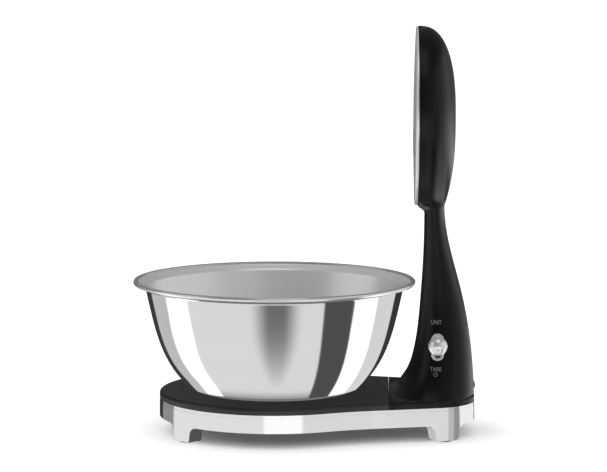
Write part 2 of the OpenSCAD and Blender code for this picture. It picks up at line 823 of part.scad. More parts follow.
holder_gap = 0.8;
holder_back = 2.5;
holder_wall = 1.2;
holder_play = 0.5;
spring_room = 2.2;
holder_x1 = back_x(door_z1) - prong_x - holder_gap;
holder_x0 = holder_x1 - cell_d - holder_back;
holder_w = 2 * cell_pitch + cell_d + 2 * holder_wall;
holder_z0 = top_z + door_low;
holder_z1 = holder_z0 + cell_l + 2 * holder_wall + spring_room + 1.4;
cell_z0 = holder_z0 + holder_wall + spring_room;
cell_x = holder_x1 - cell_d / 2 - 0.3;
nub_h = 1;
nub_d = 3.8;
contact_w = 7;
contact_t = 0.4;
coil_t = 0.7;
coil_r = 3;

module battery_holder() {
    bay_d = cell_d + holder_play;
    bay_h = holder_z1 - holder_z0 - 2 * holder_wall;
    color("black") translate([shift_x, 0, 0]) difference() {
        translate([holder_x0, -holder_w / 2, holder_z0])
            cube([holder_x1 - holder_x0, holder_w, holder_z1 - holder_z0]);
        for (k = [-1, 0, 1])
            translate([cell_x, k * cell_pitch, holder_z0 + holder_wall]) {
                cylinder(d = bay_d, h = bay_h);
                translate([0, -bay_d / 2, 0])
                    cube([20, bay_d, bay_h]);
            }
    }
}

module cell(k) {
    color("orange") translate([shift_x + cell_x, k * cell_pitch, cell_z0]) {
        cylinder(d = cell_d, h = cell_l - nub_h);
        cylinder(d = nub_d, h = cell_l);
    }
}

module cell_contacts() {
    color("silver") translate([shift_x + cell_x, 0, 0]) for (k = [-1, 0, 1])
        translate([0, k * cell_pitch, 0]) {
            for (z = [holder_z0 + holder_wall, holder_z1 - holder_wall - contact_t])
                translate([-contact_w / 2, -contact_w / 2, z])
                    cube([contact_w, contact_w, contact_t]);
            for (i = [0, 1])
                translate([0, 0, holder_z0 + holder_wall + coil_t + 0.9 * i])
                    rotate_extrude()
                        translate([coil_r - 0.8 * i, 0])
                            circle(d = coil_t, $fn = 24);
        }
}

// ================= electronics =================
board_lift = 3;
board_t = 1.6;
board_post_d = 5;
board_pilot_d = 1.9;
board_clear_d = 2.4;
board_x0 = seam_x + 7;
board_x1 = corner_x + 14;
board_w = 56;
board_z = tray_z1 + board_lift;
board_posts = [for (x = [board_x0 + 4, board_x1 - 4], s = [-1, 1]) [x, s * (board_w / 2 - 4)]];

// parts on the board: blocks as [x, y, length, width, height], cans as [x, y, diameter, height]
board_blocks = [[10, -6, 12, 12, 1.4], [5, 12, 5, 10, 4]];
board_cans = [[20, -20, 4, 4.5], [20, -14, 4, 4.5], [20, -8, 4, 4.5], [22, 14, 8, 3]];

module main_board() {
    color("darkgreen") translate([shift_x, 0, 0]) difference() {
        union() {
            translate([board_x0, -board_w / 2, board_z])
                cube([board_x1 - board_x0, board_w, board_t]);
            for (b = board_blocks)
                translate([board_x0 + b[0], b[1], board_z + board_t])
                    cube([b[2], b[3], b[4]]);
            for (c = board_cans)
                translate([board_x0 + c[0], c[1], board_z + board_t])
                    cylinder(d = c[2], h = c[3]);
        }
        for (p = board_posts)
            translate([p[0], p[1], board_z - 1])
                cylinder(d = board_clear_d, h = board_t + 2);
    }
}

module board_screws() {
    color("gray") for (p = board_posts)
        translate([shift_x + p[0], p[1], board_z + board_t])
            rotate([180, 0, 0])
                screw(board_pilot_d, board_lift + 1.4, 4, 1.4);
}

module dial_cover() {
    color("gainsboro") at_dial() difference() {
        union() {
            dome(cover_r, 0);
            translate([0, 0, -spigot_l])
                cylinder(r = spigot_r - 0.1, h = spigot_l + 1, $fn = 144);
        }
        translate([0, 0, -spigot_l - 1])
            cylinder(r = spigot_r - spigot_wall, h = spigot_l + 1 + spigot_step / 2, $fn = 144);
        dome(spigot_r - spigot_wall - spigot_step, cover_wall);
        translate([0, 0, -spigot_l - 1])
            window_shape(window_play, 30);
    }
}

module display_window() {
    color([0.05, 0.05, 0.06]) at_dial() difference() {
        intersection() {
            window_shape(0, 30);
            dome(cover_r, 0);
        }
        translate([0, 0, -1])
            cylinder(r = spigot_r - 8, h = 1.4, $fn = 96);
    }
}

// display block and its board, from the back of the dial plane inwards
module_gap = 0.2;
module_t = 6.4;
display_w = window_w + 14;
display_h = window_h + 22;
display_z = module_gap + module_t + board_t;
display_hole_in = 3.5;
plug = [16, 5, 3];

module display_module() {
    w = window_w - 6;
    h = window_h - 4;
    color("darkred") at_dial()
        translate([-w / 2, -window_drop - h / 2, -module_gap - module_t])
            cube([w, h, module_t]);
}

module display_board() {
    color("darkgreen") at_dial() translate([0, -window_drop, 0]) {
        difference() {
            translate([-display_w / 2, -display_h / 2, -display_z])
                cube([display_w, display_h, board_t]);
            for (x = [-1, 1], y = [-1, 1])
                translate([x * (display_w / 2 - display_hole_in), y * (display_h / 2 - display_hole_in),
                    -display_z - 1])
                    cylinder(d = board_clear_d, h = board_t + 2);
        }
        translate([-plug[0] / 2, 1 - display_h / 2, -display_z - plug[2]])
            cube(plug);
    }
}

module lever_plate() {
    color("silver") at_lever() difference() {
        oval(plate_w - plate_play, plate_h - plate_play, -1.1, 2);
        oval(slot_w, slot_h, -8, 8);
    }
}

module lever() {
    color("silver") at_lever() {
        translate([0, pivot_depth, 0]) rotate([90, 0, 0])
            cylinder(d = stem_d, h = pivot_depth + knob_reach);
        translate([0, -knob_reach, 0])
            rotate([90, 0, 0])
                difference() {
                    sphere(d = knob_d);
                    translate([0, 0, -knob_d / 2])
                        cylinder(d = stem_d + 2.4, h = knob_d * 0.12, center = true);
                }
        translate([0, pivot_depth, 0])
            rotate([0, 90, 0]) {
                cylinder(d = hub_d, h = hub_l, center = true);
                cylinder(d = pivot_d, h = pivot_l, center = true);
            }
    }
}

module lever_switch() {
    w = pivot_l + 2;
    end_play = 0.3;
    color("dimgray") at_lever() difference() {
        translate([-w / 2, yoke_front, -yoke_h / 2])
            cube([w, yoke_back - yoke_front, yoke_h]);
        translate([-yoke_slot / 2, yoke_front - 1, -yoke_h / 2 + 2])
            cube([yoke_slot, 8, yoke_h - 4]);
        translate([0, pivot_depth, 0])
            rotate([0, 90, 0])
                cylinder(d = pivot_d + 2 * pivot_play, h = pivot_l + 2 * end_play, center = true);
    }
}

module load_cell_cable() {
    y = beam_w / 2 - 4;
    color("gray") translate([shift_x + beam_l / 2, y, beam_z0 + beam_t / 2])
        rotate([0, 90, 0])
            cylinder(d = 2.6, h = board_x0 - beam_l / 2);
}

module display_ribbon() {
    ribbon_w = 10;
    ribbon_t = 0.8;
    x = neck_x0 + column_wall + 4;
    x0 = face_x + display_z + plug[2] + module_gap;
    z1 = head_z - window_drop - display_h / 2 + 2;
    color("lightgray") translate([shift_x, 0, 0]) {
        translate([x, -ribbon_w / 2, board_z + board_t])
            cube([ribbon_t, ribbon_w, z1 - board_z - board_t]);
        translate([x0, -ribbon_w / 2, z1])
            cube([x + ribbon_t - x0, ribbon_w, ribbon_t]);
    }
}

module battery_leads() {
    lead_d = 1.6;
    lead_in = 4;
    color("crimson") for (s = [-1, 1])
        translate([shift_x + cell_x - lead_in, s * lead_in, board_z + board_t])
            cylinder(d = lead_d, h = holder_z0 - board_z - board_t);
}

// ================= bowl =================
belly = 18.7;
belly_power = 4.15;
bowl_steps = 22;
bowl_low = 3.1;
bowl_high = bowl_h - rim_r - 6.5;
function bowl_r(h) = let (
        top = bowl_d / 2 - 2 * rim_r - flange_w + 1.5,
        u = 1 - h / (bowl_h - 4))
    top - belly * u - (top - belly - bowl_base_d / 2 - 4) * pow(u, belly_power);
function bowl_line(t) = [for (i = [0:bowl_steps])
    let (h = bowl_low + (bowl_high - bowl_low) * pow(i / bowl_steps, 1.25),
        g = (bowl_r(h + 0.1) - bowl_r(h - 0.1)) / 0.2, q = norm([1, g]))
    [bowl_r(h) - t / q, h + t * g / q]];

module bowl() {
    r_lip = bowl_d / 2 - 2 * rim_r;
    z_lip = bowl_h - rim_r;
    flare = 3;
    outer = concat(
        [[0, 0], [bowl_base_d / 2 - 2, 0], [bowl_base_d / 2 + 1, 0.45]],
        bowl_line(0),
        [for (a = [30:30:90]) [r_lip - flare * cos(a) + 0.8, z_lip - bowl_wall - flare * (1 - sin(a))]],
        [[r_lip + rim_r, z_lip - bowl_wall]]
    );
    inner = concat(
        [[0, bowl_wall], [bowl_base_d / 2 - 2, bowl_wall], [bowl_base_d / 2, bowl_wall + 0.4]],
        bowl_line(bowl_wall),
        [for (a = [30:30:90]) [r_lip - flare * cos(a) - 0.2, z_lip - flare * (1 - sin(a))]],
        [[r_lip + rim_r, z_lip]]
    );
    color("lightgray") translate([shift_x, 0, top_z])
        rotate_extrude($fn = 180)
            union() {
                polygon(concat(outer, [for (i = [len(inner) - 1:-1:0]) inner[i]]));
                translate([r_lip + rim_r, z_lip - 0.2])
                    difference() {
                        circle(r = rim_r, $fn = 36);
                        circle(r = rim_r - 0.9, $fn = 24);
                    }
            }
}

base_frame();
foot_pad(0);  // foot_pad_front_left
foot_pad(1);  // foot_pad_front_right
foot_pad(2);  // foot_pad_rear_left
foot_pad(3);  // foot_pad_rear_right
chassis_tray();
ledge_screw_set();  // ledge_screws
column_screw_set();  // column_screws
load_cell();
cell_screws_fixed();
cell_screws_free();
platform_carrier();
carrier_screws();
overload_stops();
platform();
column_housing();
battery_door();
battery_holder();
cell(-1);  // battery_left
cell(0);  // battery_middle
cell(1);  // battery_right
cell_contacts();  // battery_contacts
main_board();
board_screws();
dial_cover();
display_window();
display_module();
display_board();
lever_plate();
lever();
lever_switch();
load_cell_cable();
display_ribbon();
battery_leads();
bowl();
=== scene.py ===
"""Kitchen scale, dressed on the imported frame.

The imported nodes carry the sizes.  Each class below rebuilds or dresses one
sub-assembly and rides it on the body that carries it.  Shapes are worked out in
millimetres from the bowl axis and the floor, and placed in metres.
"""
import logging
import math
from dataclasses import dataclass, field
from enum import Enum
from typing import Callable, Iterable, Optional, Sequence

import bmesh
import bpy
import numpy as np
from mathutils import Matrix, Vector


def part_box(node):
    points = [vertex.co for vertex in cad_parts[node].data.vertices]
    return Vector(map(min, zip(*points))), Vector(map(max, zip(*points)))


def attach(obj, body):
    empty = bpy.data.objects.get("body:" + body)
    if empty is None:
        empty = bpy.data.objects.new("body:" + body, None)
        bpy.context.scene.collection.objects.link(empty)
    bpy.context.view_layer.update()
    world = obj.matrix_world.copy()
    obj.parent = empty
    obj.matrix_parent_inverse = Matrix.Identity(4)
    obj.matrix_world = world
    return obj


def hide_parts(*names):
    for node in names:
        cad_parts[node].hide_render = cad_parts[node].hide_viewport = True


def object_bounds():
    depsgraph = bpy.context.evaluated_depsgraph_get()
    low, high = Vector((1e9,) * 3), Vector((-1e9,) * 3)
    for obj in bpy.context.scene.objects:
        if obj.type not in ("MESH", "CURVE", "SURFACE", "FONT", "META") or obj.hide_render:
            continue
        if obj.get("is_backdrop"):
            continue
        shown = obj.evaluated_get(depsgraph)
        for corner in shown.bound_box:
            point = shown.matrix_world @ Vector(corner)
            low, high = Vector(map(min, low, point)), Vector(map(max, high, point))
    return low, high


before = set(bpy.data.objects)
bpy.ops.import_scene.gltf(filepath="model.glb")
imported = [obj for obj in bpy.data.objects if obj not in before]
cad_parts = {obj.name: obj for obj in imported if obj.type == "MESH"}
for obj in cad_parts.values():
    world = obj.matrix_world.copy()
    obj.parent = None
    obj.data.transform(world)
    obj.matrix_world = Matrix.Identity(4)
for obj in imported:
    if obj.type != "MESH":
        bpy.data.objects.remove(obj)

PACKED_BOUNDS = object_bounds()
LOG = logging.getLogger("kitchen_scale")
MM = 0.001
SHARP = 35.0
ON_AXIS = 1e-6
WELD = 2e-6
FLAT = 0.5
SEAM_EASE = 0.25
QUARTER = tuple(math.radians(90 * i / 8) for i in range(9))

Plan = tuple[float, float]
Point = tuple[float, float, float]
Colour = tuple[float, float, float]


# ---------------------------------------------------------------- small maths


def smooth(share: float) -> float:
    """Ease a share from 0 to 1 with level ends."""
    held = min(1.0, max(0.0, share))
    return held * held * (3.0 - 2.0 * held)


def arc(centre: Plan, radius: float, start: float, end: float, steps: int) -> list[Plan]:
    """Points along a circle.

    Args:
        centre: middle of the circle.
        radius: its radius.
        start: first angle in degrees.
        end: last angle in degrees.
        steps: number of equal steps.

    Returns:
        steps + 1 points.
    """
    angles = [math.radians(start + (end - start) * i / steps) for i in range(steps + 1)]
    return [(centre[0] + radius * math.cos(a), centre[1] + radius * math.sin(a)) for a in angles]


def rounded(points: Sequence[Plan], rounds: int = 2) -> list[Plan]:
    """Cut the corners of an open line so that it runs smoothly.

    Args:
        points: the line's corners.
        rounds: how many times each corner is cut.

    Returns:
        The smoother line, with its ends kept.
    """
    line = list(points)
    for _ in range(rounds):
        cut = [line[0]]
        for a, b in zip(line, line[1:]):
            cut.append((0.75 * a[0] + 0.25 * b[0], 0.75 * a[1] + 0.25 * b[1]))
            cut.append((0.25 * a[0] + 0.75 * b[0], 0.25 * a[1] + 0.75 * b[1]))
        cut.append(line[-1])
        line = cut
    return line


def stadium(width: float, height: float, steps: int) -> list[Plan]:
    """An upright oval with straight sides and round ends, counter-clockwise from the right."""
    reach = (height - width) / 2
    top = arc((0, reach), width / 2, 0, 180, steps)
    bottom = arc((0, -reach), width / 2, 180, 360, steps)
    return top + bottom


def rounded_box(width: float, height: float, radius: float, steps: int) -> list[Plan]:
    """A rectangle with round corners, counter-clockwise."""
    x, y = width / 2 - radius, height / 2 - radius
    corners = (((x, y), 0), ((-x, y), 90), ((-x, -y), 180), ((x, -y), 270))
    return [p for centre, a in corners for p in arc(centre, radius, a, a + 90, steps)]


# ---------------------------------------------------------------- sizes


@dataclass(frozen=True)
class ScaleSizes:
    """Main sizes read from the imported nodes, in millimetres from the bowl axis."""

    axis_x: float
    plan_r: float
    rear_x: float
    band_top: float
    top_z: float
    seam_x: float
    head_z: float
    head_r: float
    face_x: float
    bowl_r: float
    bowl_top: float

    @classmethod
    def measured(cls, seam_gap: float = 0.6, spigot: float = 5.0) -> "ScaleSizes":
        """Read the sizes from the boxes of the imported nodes.

        Args:
            seam_gap: width of the seam behind the platform.
            spigot: how far the dial cover reaches into the head.

        Returns:
            The sizes in millimetres.
        """
        bowl_lo, bowl_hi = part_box("bowl")
        base_lo, base_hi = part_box("base_frame")
        _, slab_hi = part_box("platform")
        dial_lo, dial_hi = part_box("dial_cover")
        _, column_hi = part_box("column_housing")
        axis = (bowl_lo.x + bowl_hi.x) / 2
        head_z = (dial_lo.z + dial_hi.z) / 2
        return cls(
            axis_x=axis,
            plan_r=(axis - base_lo.x) / MM,
            rear_x=(base_hi.x - axis) / MM,
            band_top=base_hi.z / MM,
            top_z=slab_hi.z / MM,
            seam_x=(slab_hi.x - axis) / MM + seam_gap / 2,
            head_z=head_z / MM,
            head_r=(column_hi.z - head_z) / MM,
            face_x=(dial_hi.x - axis) / MM - spigot,
            bowl_r=(bowl_hi.x - axis) / MM,
            bowl_top=bowl_hi.z / MM,
        )

    def place(self, point: Point) -> Point:
        """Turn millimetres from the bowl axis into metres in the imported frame."""
        return (point[0] * MM + self.axis_x, point[1] * MM, point[2] * MM)


# ---------------------------------------------------------------- mesh making


@dataclass
class Skin:
    """Points and faces of one piece, collected in millimetres."""

    sizes: ScaleSizes
    points: list[Point] = field(default_factory=list)
    faces: list[tuple[int, ...]] = field(default_factory=list)
    dress: list[int] = field(default_factory=list)

    def ring(self, points: Iterable[Point]) -> list[int]:
        """Add points and give back their numbers."""
        start = len(self.points)
        self.points.extend(points)
        return list(range(start, len(self.points)))

    def laid(self, place: Matrix, points: Iterable[Point]) -> list[int]:
        """Add points given in a part's own millimetres."""
        return self.ring([tuple(place @ Vector(p)) for p in points])

    def level(self, outline: Iterable[Plan], z: float) -> list[int]:
        """Add an outline at one height."""
        return self.ring([(x, y, z) for x, y in outline])

    def face(self, corners: Sequence[int], dress: int = 0) -> None:
        """Add one face that wears the given finish."""
        self.faces.append(tuple(corners))
        self.dress.append(dress)

    def bridge(self, low: Sequence[int], high: Sequence[int], closed: bool = True, dress: int = 0) -> None:
        """Join two rows of points with faces; a row of one point makes a fan.

        Args:
            low: first row.
            high: second row.
            closed: whether the rows run all the way round.
            dress: number of the finish on the new faces.
        """
        count = max(len(low), len(high))
        for i in range(count if closed else count - 1):
            j = (i + 1) % count
            corners = [low[i % len(low)], low[j % len(low)], high[j % len(high)], high[i % len(high)]]
            kept = [c for k, c in enumerate(corners) if c not in corners[:k]]
            if len(kept) > 2:
                self.face(kept, dress)

    def loft(self, rings: Sequence[Sequence[int]], caps: bool = True, dress: int = 0) -> None:
        """Join rings in order, and close both ends."""
        for low, high in zip(rings, rings[1:]):
            self.bridge(low, high, dress=dress)
        if caps:
            for ring in (rings[0], rings[-1]):
                if len(ring) > 2:
                    self.face(ring, dress)

    def lathe(self, profile: Sequence[Plan], steps: int, place: Matrix, dress: Optional[Sequence[int]] = None) -> None:
        """Turn a line of (radius, height) about local Z.

        Args:
            profile: the line, from one end on the axis to the other.
            steps: faces round the axis.
            place: puts local millimetres in the scale's millimetres.
            dress: number of the finish of each stretch of the line.
        """
        rings = []
        for radius, height in profile:
            turn = [(0, 0)] if radius < ON_AXIS else arc((0, 0), radius, 0, 360 - 360 / steps, steps - 1)
            rings.append(self.laid(place, [(x, y, height) for x, y in turn]))
        for i, (low, high) in enumerate(zip(rings, rings[1:])):
            self.bridge(low, high, dress=dress[i] if dress else 0)

    def build(self, name: str, sharp: float = SHARP) -> bpy.types.Object:
        """Make the mesh object in metres.

        Args:
            name: name of the piece.
            sharp: edges that fold more than this many degrees stay crisp.

        Returns:
            The new object, linked to the scene.
        """
        mesh = bpy.data.meshes.new(name)
        mesh.from_pydata([self.sizes.place(p) for p in self.points], [], self.faces)
        mesh.polygons.foreach_set("material_index", self.dress)
        turned = bmesh.new()
        turned.from_mesh(mesh)
        bmesh.ops.recalc_face_normals(turned, faces=turned.faces)
        turned.to_mesh(mesh)
        turned.free()
        return linked(name, mesh, sharp)


def linked(name: str, mesh: bpy.types.Mesh, sharp: float = SHARP) -> bpy.types.Object:
    """Put a mesh in the scene with smooth faces and crisp folds."""
    mesh.validate()
    mesh.shade_smooth()
    mesh.set_sharp_from_angle(angle=math.radians(sharp))
    piece = bpy.data.objects.new(name, mesh)
    bpy.context.scene.collection.objects.link(piece)
    return piece


def settled(piece: bpy.types.Object) -> bpy.types.Object:
    """Apply a piece's modifiers to its mesh."""
    shown = piece.evaluated_get(bpy.context.evaluated_depsgraph_get())
    mesh = bpy.data.meshes.new_from_object(shown)
    mesh.name = piece.name
    piece.modifiers.clear()
    piece.data = mesh
    mesh.shade_smooth()
    mesh.set_sharp_from_angle(angle=math.radians(SHARP))
    return piece


class Join(Enum):
    """How one solid acts on another."""

    CUT = "DIFFERENCE"
    ADD = "UNION"


def joined(piece: bpy.types.Object, tool: bpy.types.Object, how: Join) -> bpy.types.Object:
    """Cut a solid with another one, or add it, and drop the tool.

    Args:
        piece: the solid that stays.
        tool: the solid that is used up.
        how: cut or add.

    Returns:
        The piece with its new mesh.
    """
    step = piece.modifiers.new(how.name.lower(), "BOOLEAN")
    step.operation = how.value
    step.solver = "EXACT"
    step.object = tool
    settled(piece)
    used = tool.data
    bpy.data.objects.remove(tool)
    bpy.data.meshes.remove(used)
    return piece


def eased(piece: bpy.types.Object, width: float, steps: int = 2, above: float = 40.0) -> bpy.types.Object:
    """Round the sharp edges of a piece by a width in millimetres."""
    step = piece.modifiers.new("eased_edges", "BEVEL")
    step.width = width * MM
    step.segments = steps
    step.limit_method = "ANGLE"
    step.angle_limit = math.radians(above)
    step.harden_normals = True
    return piece


def refined(node: str, name: str) -> bpy.types.Object:
    """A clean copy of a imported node: welded, with its flat faces whole.

    Args:
        node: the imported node.
        name: name of the new piece, which stands for the node.

    Returns:
        The new object.
    """
    work = bmesh.new()
    work.from_mesh(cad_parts[node].data)
    bmesh.ops.remove_doubles(work, verts=work.verts, dist=WELD)
    bmesh.ops.dissolve_limit(
        work, angle_limit=math.radians(FLAT), verts=work.verts, edges=work.edges, use_dissolve_boundaries=False
    )
    mesh = bpy.data.meshes.new(name)
    work.to_mesh(mesh)
    work.free()
    for stale in ("custom_normal", "sharp_face", "sharp_edge"):
        if stale in mesh.attributes:
            mesh.attributes.remove(mesh.attributes[stale])
    mesh.materials.clear()
    piece = linked(name, mesh)
    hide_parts(node)
    return piece


def finished(
    piece: bpy.types.Object,
    body: str,
    finishes: Sequence["Finish"],
    stands_for: Sequence[str] = (),
) -> bpy.types.Object:
    """Dress a piece, ride it on its body and report it.

    Args:
        piece: the new object.
        body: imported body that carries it.
        finishes: its finishes, in the order of the faces' numbers.
        stands_for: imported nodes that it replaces.

    Returns:
        The same object.
    """
    for finish in finishes:
        piece.data.materials.append(finish.material())
    if stands_for:
        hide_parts(*stands_for)
    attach(piece, body)
    piece.visible_glossy = False
    LOG.info("%s rides on %s", piece.name, body)
    return piece


# ---------------------------------------------------------------- shading


class Sheet:
    """Short hand for filling one node tree."""

    def __init__(self, tree: bpy.types.NodeTree) -> None:
        """Work on the given tree."""
        self.tree = tree

    def add(self, kind: str, settings: Optional[dict] = None, **inputs: object) -> bpy.types.Node:
        """Add a node.

        Args:
            kind: Blender's name of the node.
            settings: its properties.
            **inputs: values or sockets by input name, with _ for a space.

        Returns:
            The node.
        """
        node = self.tree.nodes.new(kind)
        for name, value in (settings or {}).items():
            setattr(node, name, value)
        for name, value in inputs.items():
            self.feed(node.inputs[name.replace("_", " ")], value)
        return node

    def feed(self, socket: bpy.types.NodeSocket, value: object) -> None:
        """Link a socket, or set its value."""
        if isinstance(value, bpy.types.NodeSocket):
            self.tree.links.new(value, socket)
        elif value is not None:
            socket.default_value = value

    def sum(
        self, operation: str, a: object, b: object = None, c: object = None, held: bool = False
    ) -> bpy.types.NodeSocket:
        """One Math node.

        Args:
            operation: Blender's name of the sum.
            a: first value or socket.
            b: second.
            c: third.
            held: keep the result between 0 and 1.

        Returns:
            Its output.
        """
        node = self.add("ShaderNodeMath", {"operation": operation, "use_clamp": held})
        for socket, value in zip(node.inputs, (a, b, c)):
            self.feed(socket, value)
        return node.outputs[0]

    def times(self, a: object, b: object, held: bool = False) -> bpy.types.NodeSocket:
        """Product of two values."""
        return self.sum("MULTIPLY", a, b, held=held)

    def plus(self, a: object, b: object, held: bool = False) -> bpy.types.NodeSocket:
        """Two values added."""
        return self.sum("ADD", a, b, held=held)

    def minus(self, a: object, b: object) -> bpy.types.NodeSocket:
        """One value less another."""
        return self.sum("SUBTRACT", a, b)

    def length(self, a: object, b: object) -> bpy.types.NodeSocket:
        """Length of the line with these two legs."""
        return self.sum("SQRT", self.plus(self.times(a, a), self.times(b, b)))

    def swing(self, value: object, amount: object, middle: float) -> bpy.types.NodeSocket:
        """A value that varies about 0.5, made to vary by an amount about a middle."""
        return self.sum("MULTIPLY_ADD", self.minus(value, 0.5), amount, middle)

    def lerp(self, share: object, low: object, high: object) -> bpy.types.NodeSocket:
        """Go from one value to another by a share."""
        node = self.tree.nodes.new("ShaderNodeMix")
        node.data_type = "FLOAT"
        for index, value in ((0, share), (2, low), (3, high)):
            self.feed(node.inputs[index], value)
        return node.outputs[0]

    def span(
        self, value: object, low: float, high: float, to_low: float = 0.0, to_high: float = 1.0
    ) -> bpy.types.NodeSocket:
        """Carry a value from one range to another, with soft ends."""
        node = self.add(
            "ShaderNodeMapRange", {"interpolation_type": "SMOOTHSTEP"}, Value=value, From_Min=low, From_Max=high,
            To_Min=to_low, To_Max=to_high,
        )
        return node.outputs[0]

    def blend(self, share: object, a: object, b: object) -> bpy.types.NodeSocket:
        """Mix two colours."""
        node = self.tree.nodes.new("ShaderNodeMix")
        node.data_type = "RGBA"
        for index, value in ((0, share), (6, a), (7, b)):
            self.feed(node.inputs[index], opaque(value))
        return node.outputs[2]

    def noise(
        self, vector: bpy.types.NodeSocket, scale: object, detail: float = 3.0, rough: float = 0.55
    ) -> bpy.types.NodeSocket:
        """Plain noise between 0 and 1."""
        node = self.add("ShaderNodeTexNoise", None, Vector=vector, Scale=scale, Detail=detail, Roughness=rough)
        return node.outputs[0]

    def parts(self, vector: bpy.types.NodeSocket) -> tuple[bpy.types.NodeSocket, ...]:
        """The three parts of a vector."""
        return tuple(self.add("ShaderNodeSeparateXYZ", None, Vector=vector).outputs)

    def vector(self, x: object, y: object, z: object) -> bpy.types.NodeSocket:
        """A vector from three values."""
        return self.add("ShaderNodeCombineXYZ", None, X=x, Y=y, Z=z).outputs[0]


def opaque(value: object) -> object:
    """Give a plain colour its fourth number."""
    return (*value, 1.0) if isinstance(value, tuple) and len(value) == 3 else value


class Effect(Enum):
    """Shared surface effects, each built once as a node group."""

    EDGE_WEAR = "edge_wear"
    FINE_GRAIN = "fine_grain"
    SPUN_LINES = "spun_lines"
    DRAWN_LINES = "drawn_lines"
    HANDLING = "handling"
    DUST = "dust"

    def group(self) -> bpy.types.NodeTree:
        """The effect's node group, built on its first use."""
        ready = bpy.data.node_groups.get(self.value)
        return ready or EffectShop(self).made()


@dataclass
class EffectShop:
    """Builds the node group of one effect."""

    effect: Effect

    def made(self) -> bpy.types.NodeTree:
        """Build the group with its named inputs and outputs."""
        tree = bpy.data.node_groups.new(self.effect.value, "ShaderNodeTree")
        recipes: dict[Effect, tuple[Callable, tuple, tuple]] = {
            Effect.EDGE_WEAR: (self.edge_wear, ("Scale", "Amount"), ("Mask",)),
            Effect.FINE_GRAIN: (self.fine_grain, ("Scale", "Contrast"), ("Height", "Tone")),
            Effect.SPUN_LINES: (self.spun_lines, ("Pitch", "Contrast"), ("Height", "Tone")),
            Effect.DRAWN_LINES: (self.drawn_lines, ("Pitch", "Contrast"), ("Height", "Tone")),
            Effect.HANDLING: (self.handling, ("Scale", "Amount"), ("Mask",)),
            Effect.DUST: (self.dust, ("Scale", "Amount"), ("Mask",)),
        }
        recipe, inputs, outputs = recipes[self.effect]
        tree.interface.new_socket("Vector", in_out="INPUT", socket_type="NodeSocketVector")
        for name in inputs:
            tree.interface.new_socket(name, in_out="INPUT", socket_type="NodeSocketFloat")
        for name in outputs:
            tree.interface.new_socket(name, in_out="OUTPUT", socket_type="NodeSocketFloat")
        sheet = Sheet(tree)
        given = tree.nodes.new("NodeGroupInput").outputs
        handed = tree.nodes.new("NodeGroupOutput").inputs
        for socket, value in zip(handed, recipe(sheet, *given[:3])):
            sheet.feed(socket, value)
        return tree

    @staticmethod
    def edge_wear(sheet: Sheet, place: object, scale: object, amount: object) -> tuple:
        """Bare outer edges, broken up by noise."""
        pointed = sheet.add("ShaderNodeNewGeometry").outputs["Pointiness"]
        edge = sheet.span(pointed, 0.515, 0.60)
        broken = sheet.span(sheet.noise(place, scale, 4.0), 0.38, 0.62)
        return (sheet.times(sheet.times(edge, broken), amount, held=True),)

    @staticmethod
    def fine_grain(sheet: Sheet, place: object, scale: object, contrast: object) -> tuple:
        """Fine even grain of a moulded or cast surface."""
        coarse = sheet.noise(place, scale, 2.0, 0.6)
        fine = sheet.noise(place, sheet.times(scale, 3.1), 3.0, 0.65)
        height = sheet.sum("MULTIPLY_ADD", fine, 0.45, sheet.times(coarse, 0.55))
        tone = sheet.swing(height, contrast, 0.5)
        return height, tone

    @staticmethod
    def spun_lines(sheet: Sheet, place: object, pitch: object, contrast: object) -> tuple:
        """Rings left by a cutter or belt that turns about local Z."""
        x, y, z = sheet.parts(place)
        radius = sheet.length(x, y)
        turn = sheet.sum("ARCTAN2", y, x)
        wound = sheet.vector(
            sheet.times(radius, pitch), sheet.times(z, pitch), sheet.times(turn, 1.4)
        )
        height = sheet.noise(wound, 1.0, 4.0, 0.7)
        broad = sheet.noise(wound, 0.16, 2.0, 0.5)
        tone = sheet.swing(broad, contrast, 0.5)
        return height, tone

    @staticmethod
    def drawn_lines(sheet: Sheet, place: object, pitch: object, contrast: object) -> tuple:
        """Straight lines along local Z, as on drawn or brushed sheet."""
        x, y, z = sheet.parts(place)
        drawn = sheet.vector(
            sheet.times(x, pitch), sheet.times(y, pitch), sheet.times(z, 9.0)
        )
        height = sheet.noise(drawn, 1.0, 4.0, 0.7)
        broad = sheet.noise(drawn, 0.12, 2.0, 0.5)
        tone = sheet.swing(broad, contrast, 0.5)
        return height, tone

    @staticmethod
    def handling(sheet: Sheet, place: object, scale: object, amount: object) -> tuple:
        """Faint smudges of fingers and cloth."""
        cloud = sheet.span(sheet.noise(place, scale, 4.0, 0.6), 0.42, 0.75)
        wipe = sheet.noise(place, sheet.times(scale, 6.0), 2.0, 0.5)
        return (sheet.times(sheet.times(cloud, wipe), amount, held=True),)

    @staticmethod
    def dust(sheet: Sheet, place: object, scale: object, amount: object) -> tuple:
        """A thin veil of dust on what faces up."""
        _, _, up = sheet.parts(sheet.add("ShaderNodeNewGeometry").outputs["Normal"])
        flat = sheet.span(up, 0.55, 0.98)
        specks = sheet.span(sheet.noise(place, scale, 5.0, 0.7), 0.45, 0.8)
        return (sheet.times(sheet.times(flat, specks), amount, held=True),)


class Texture(Enum):
    """What kind of fine relief a finish has."""

    GRAIN = Effect.FINE_GRAIN
    SPUN = Effect.SPUN_LINES
    DRAWN = Effect.DRAWN_LINES


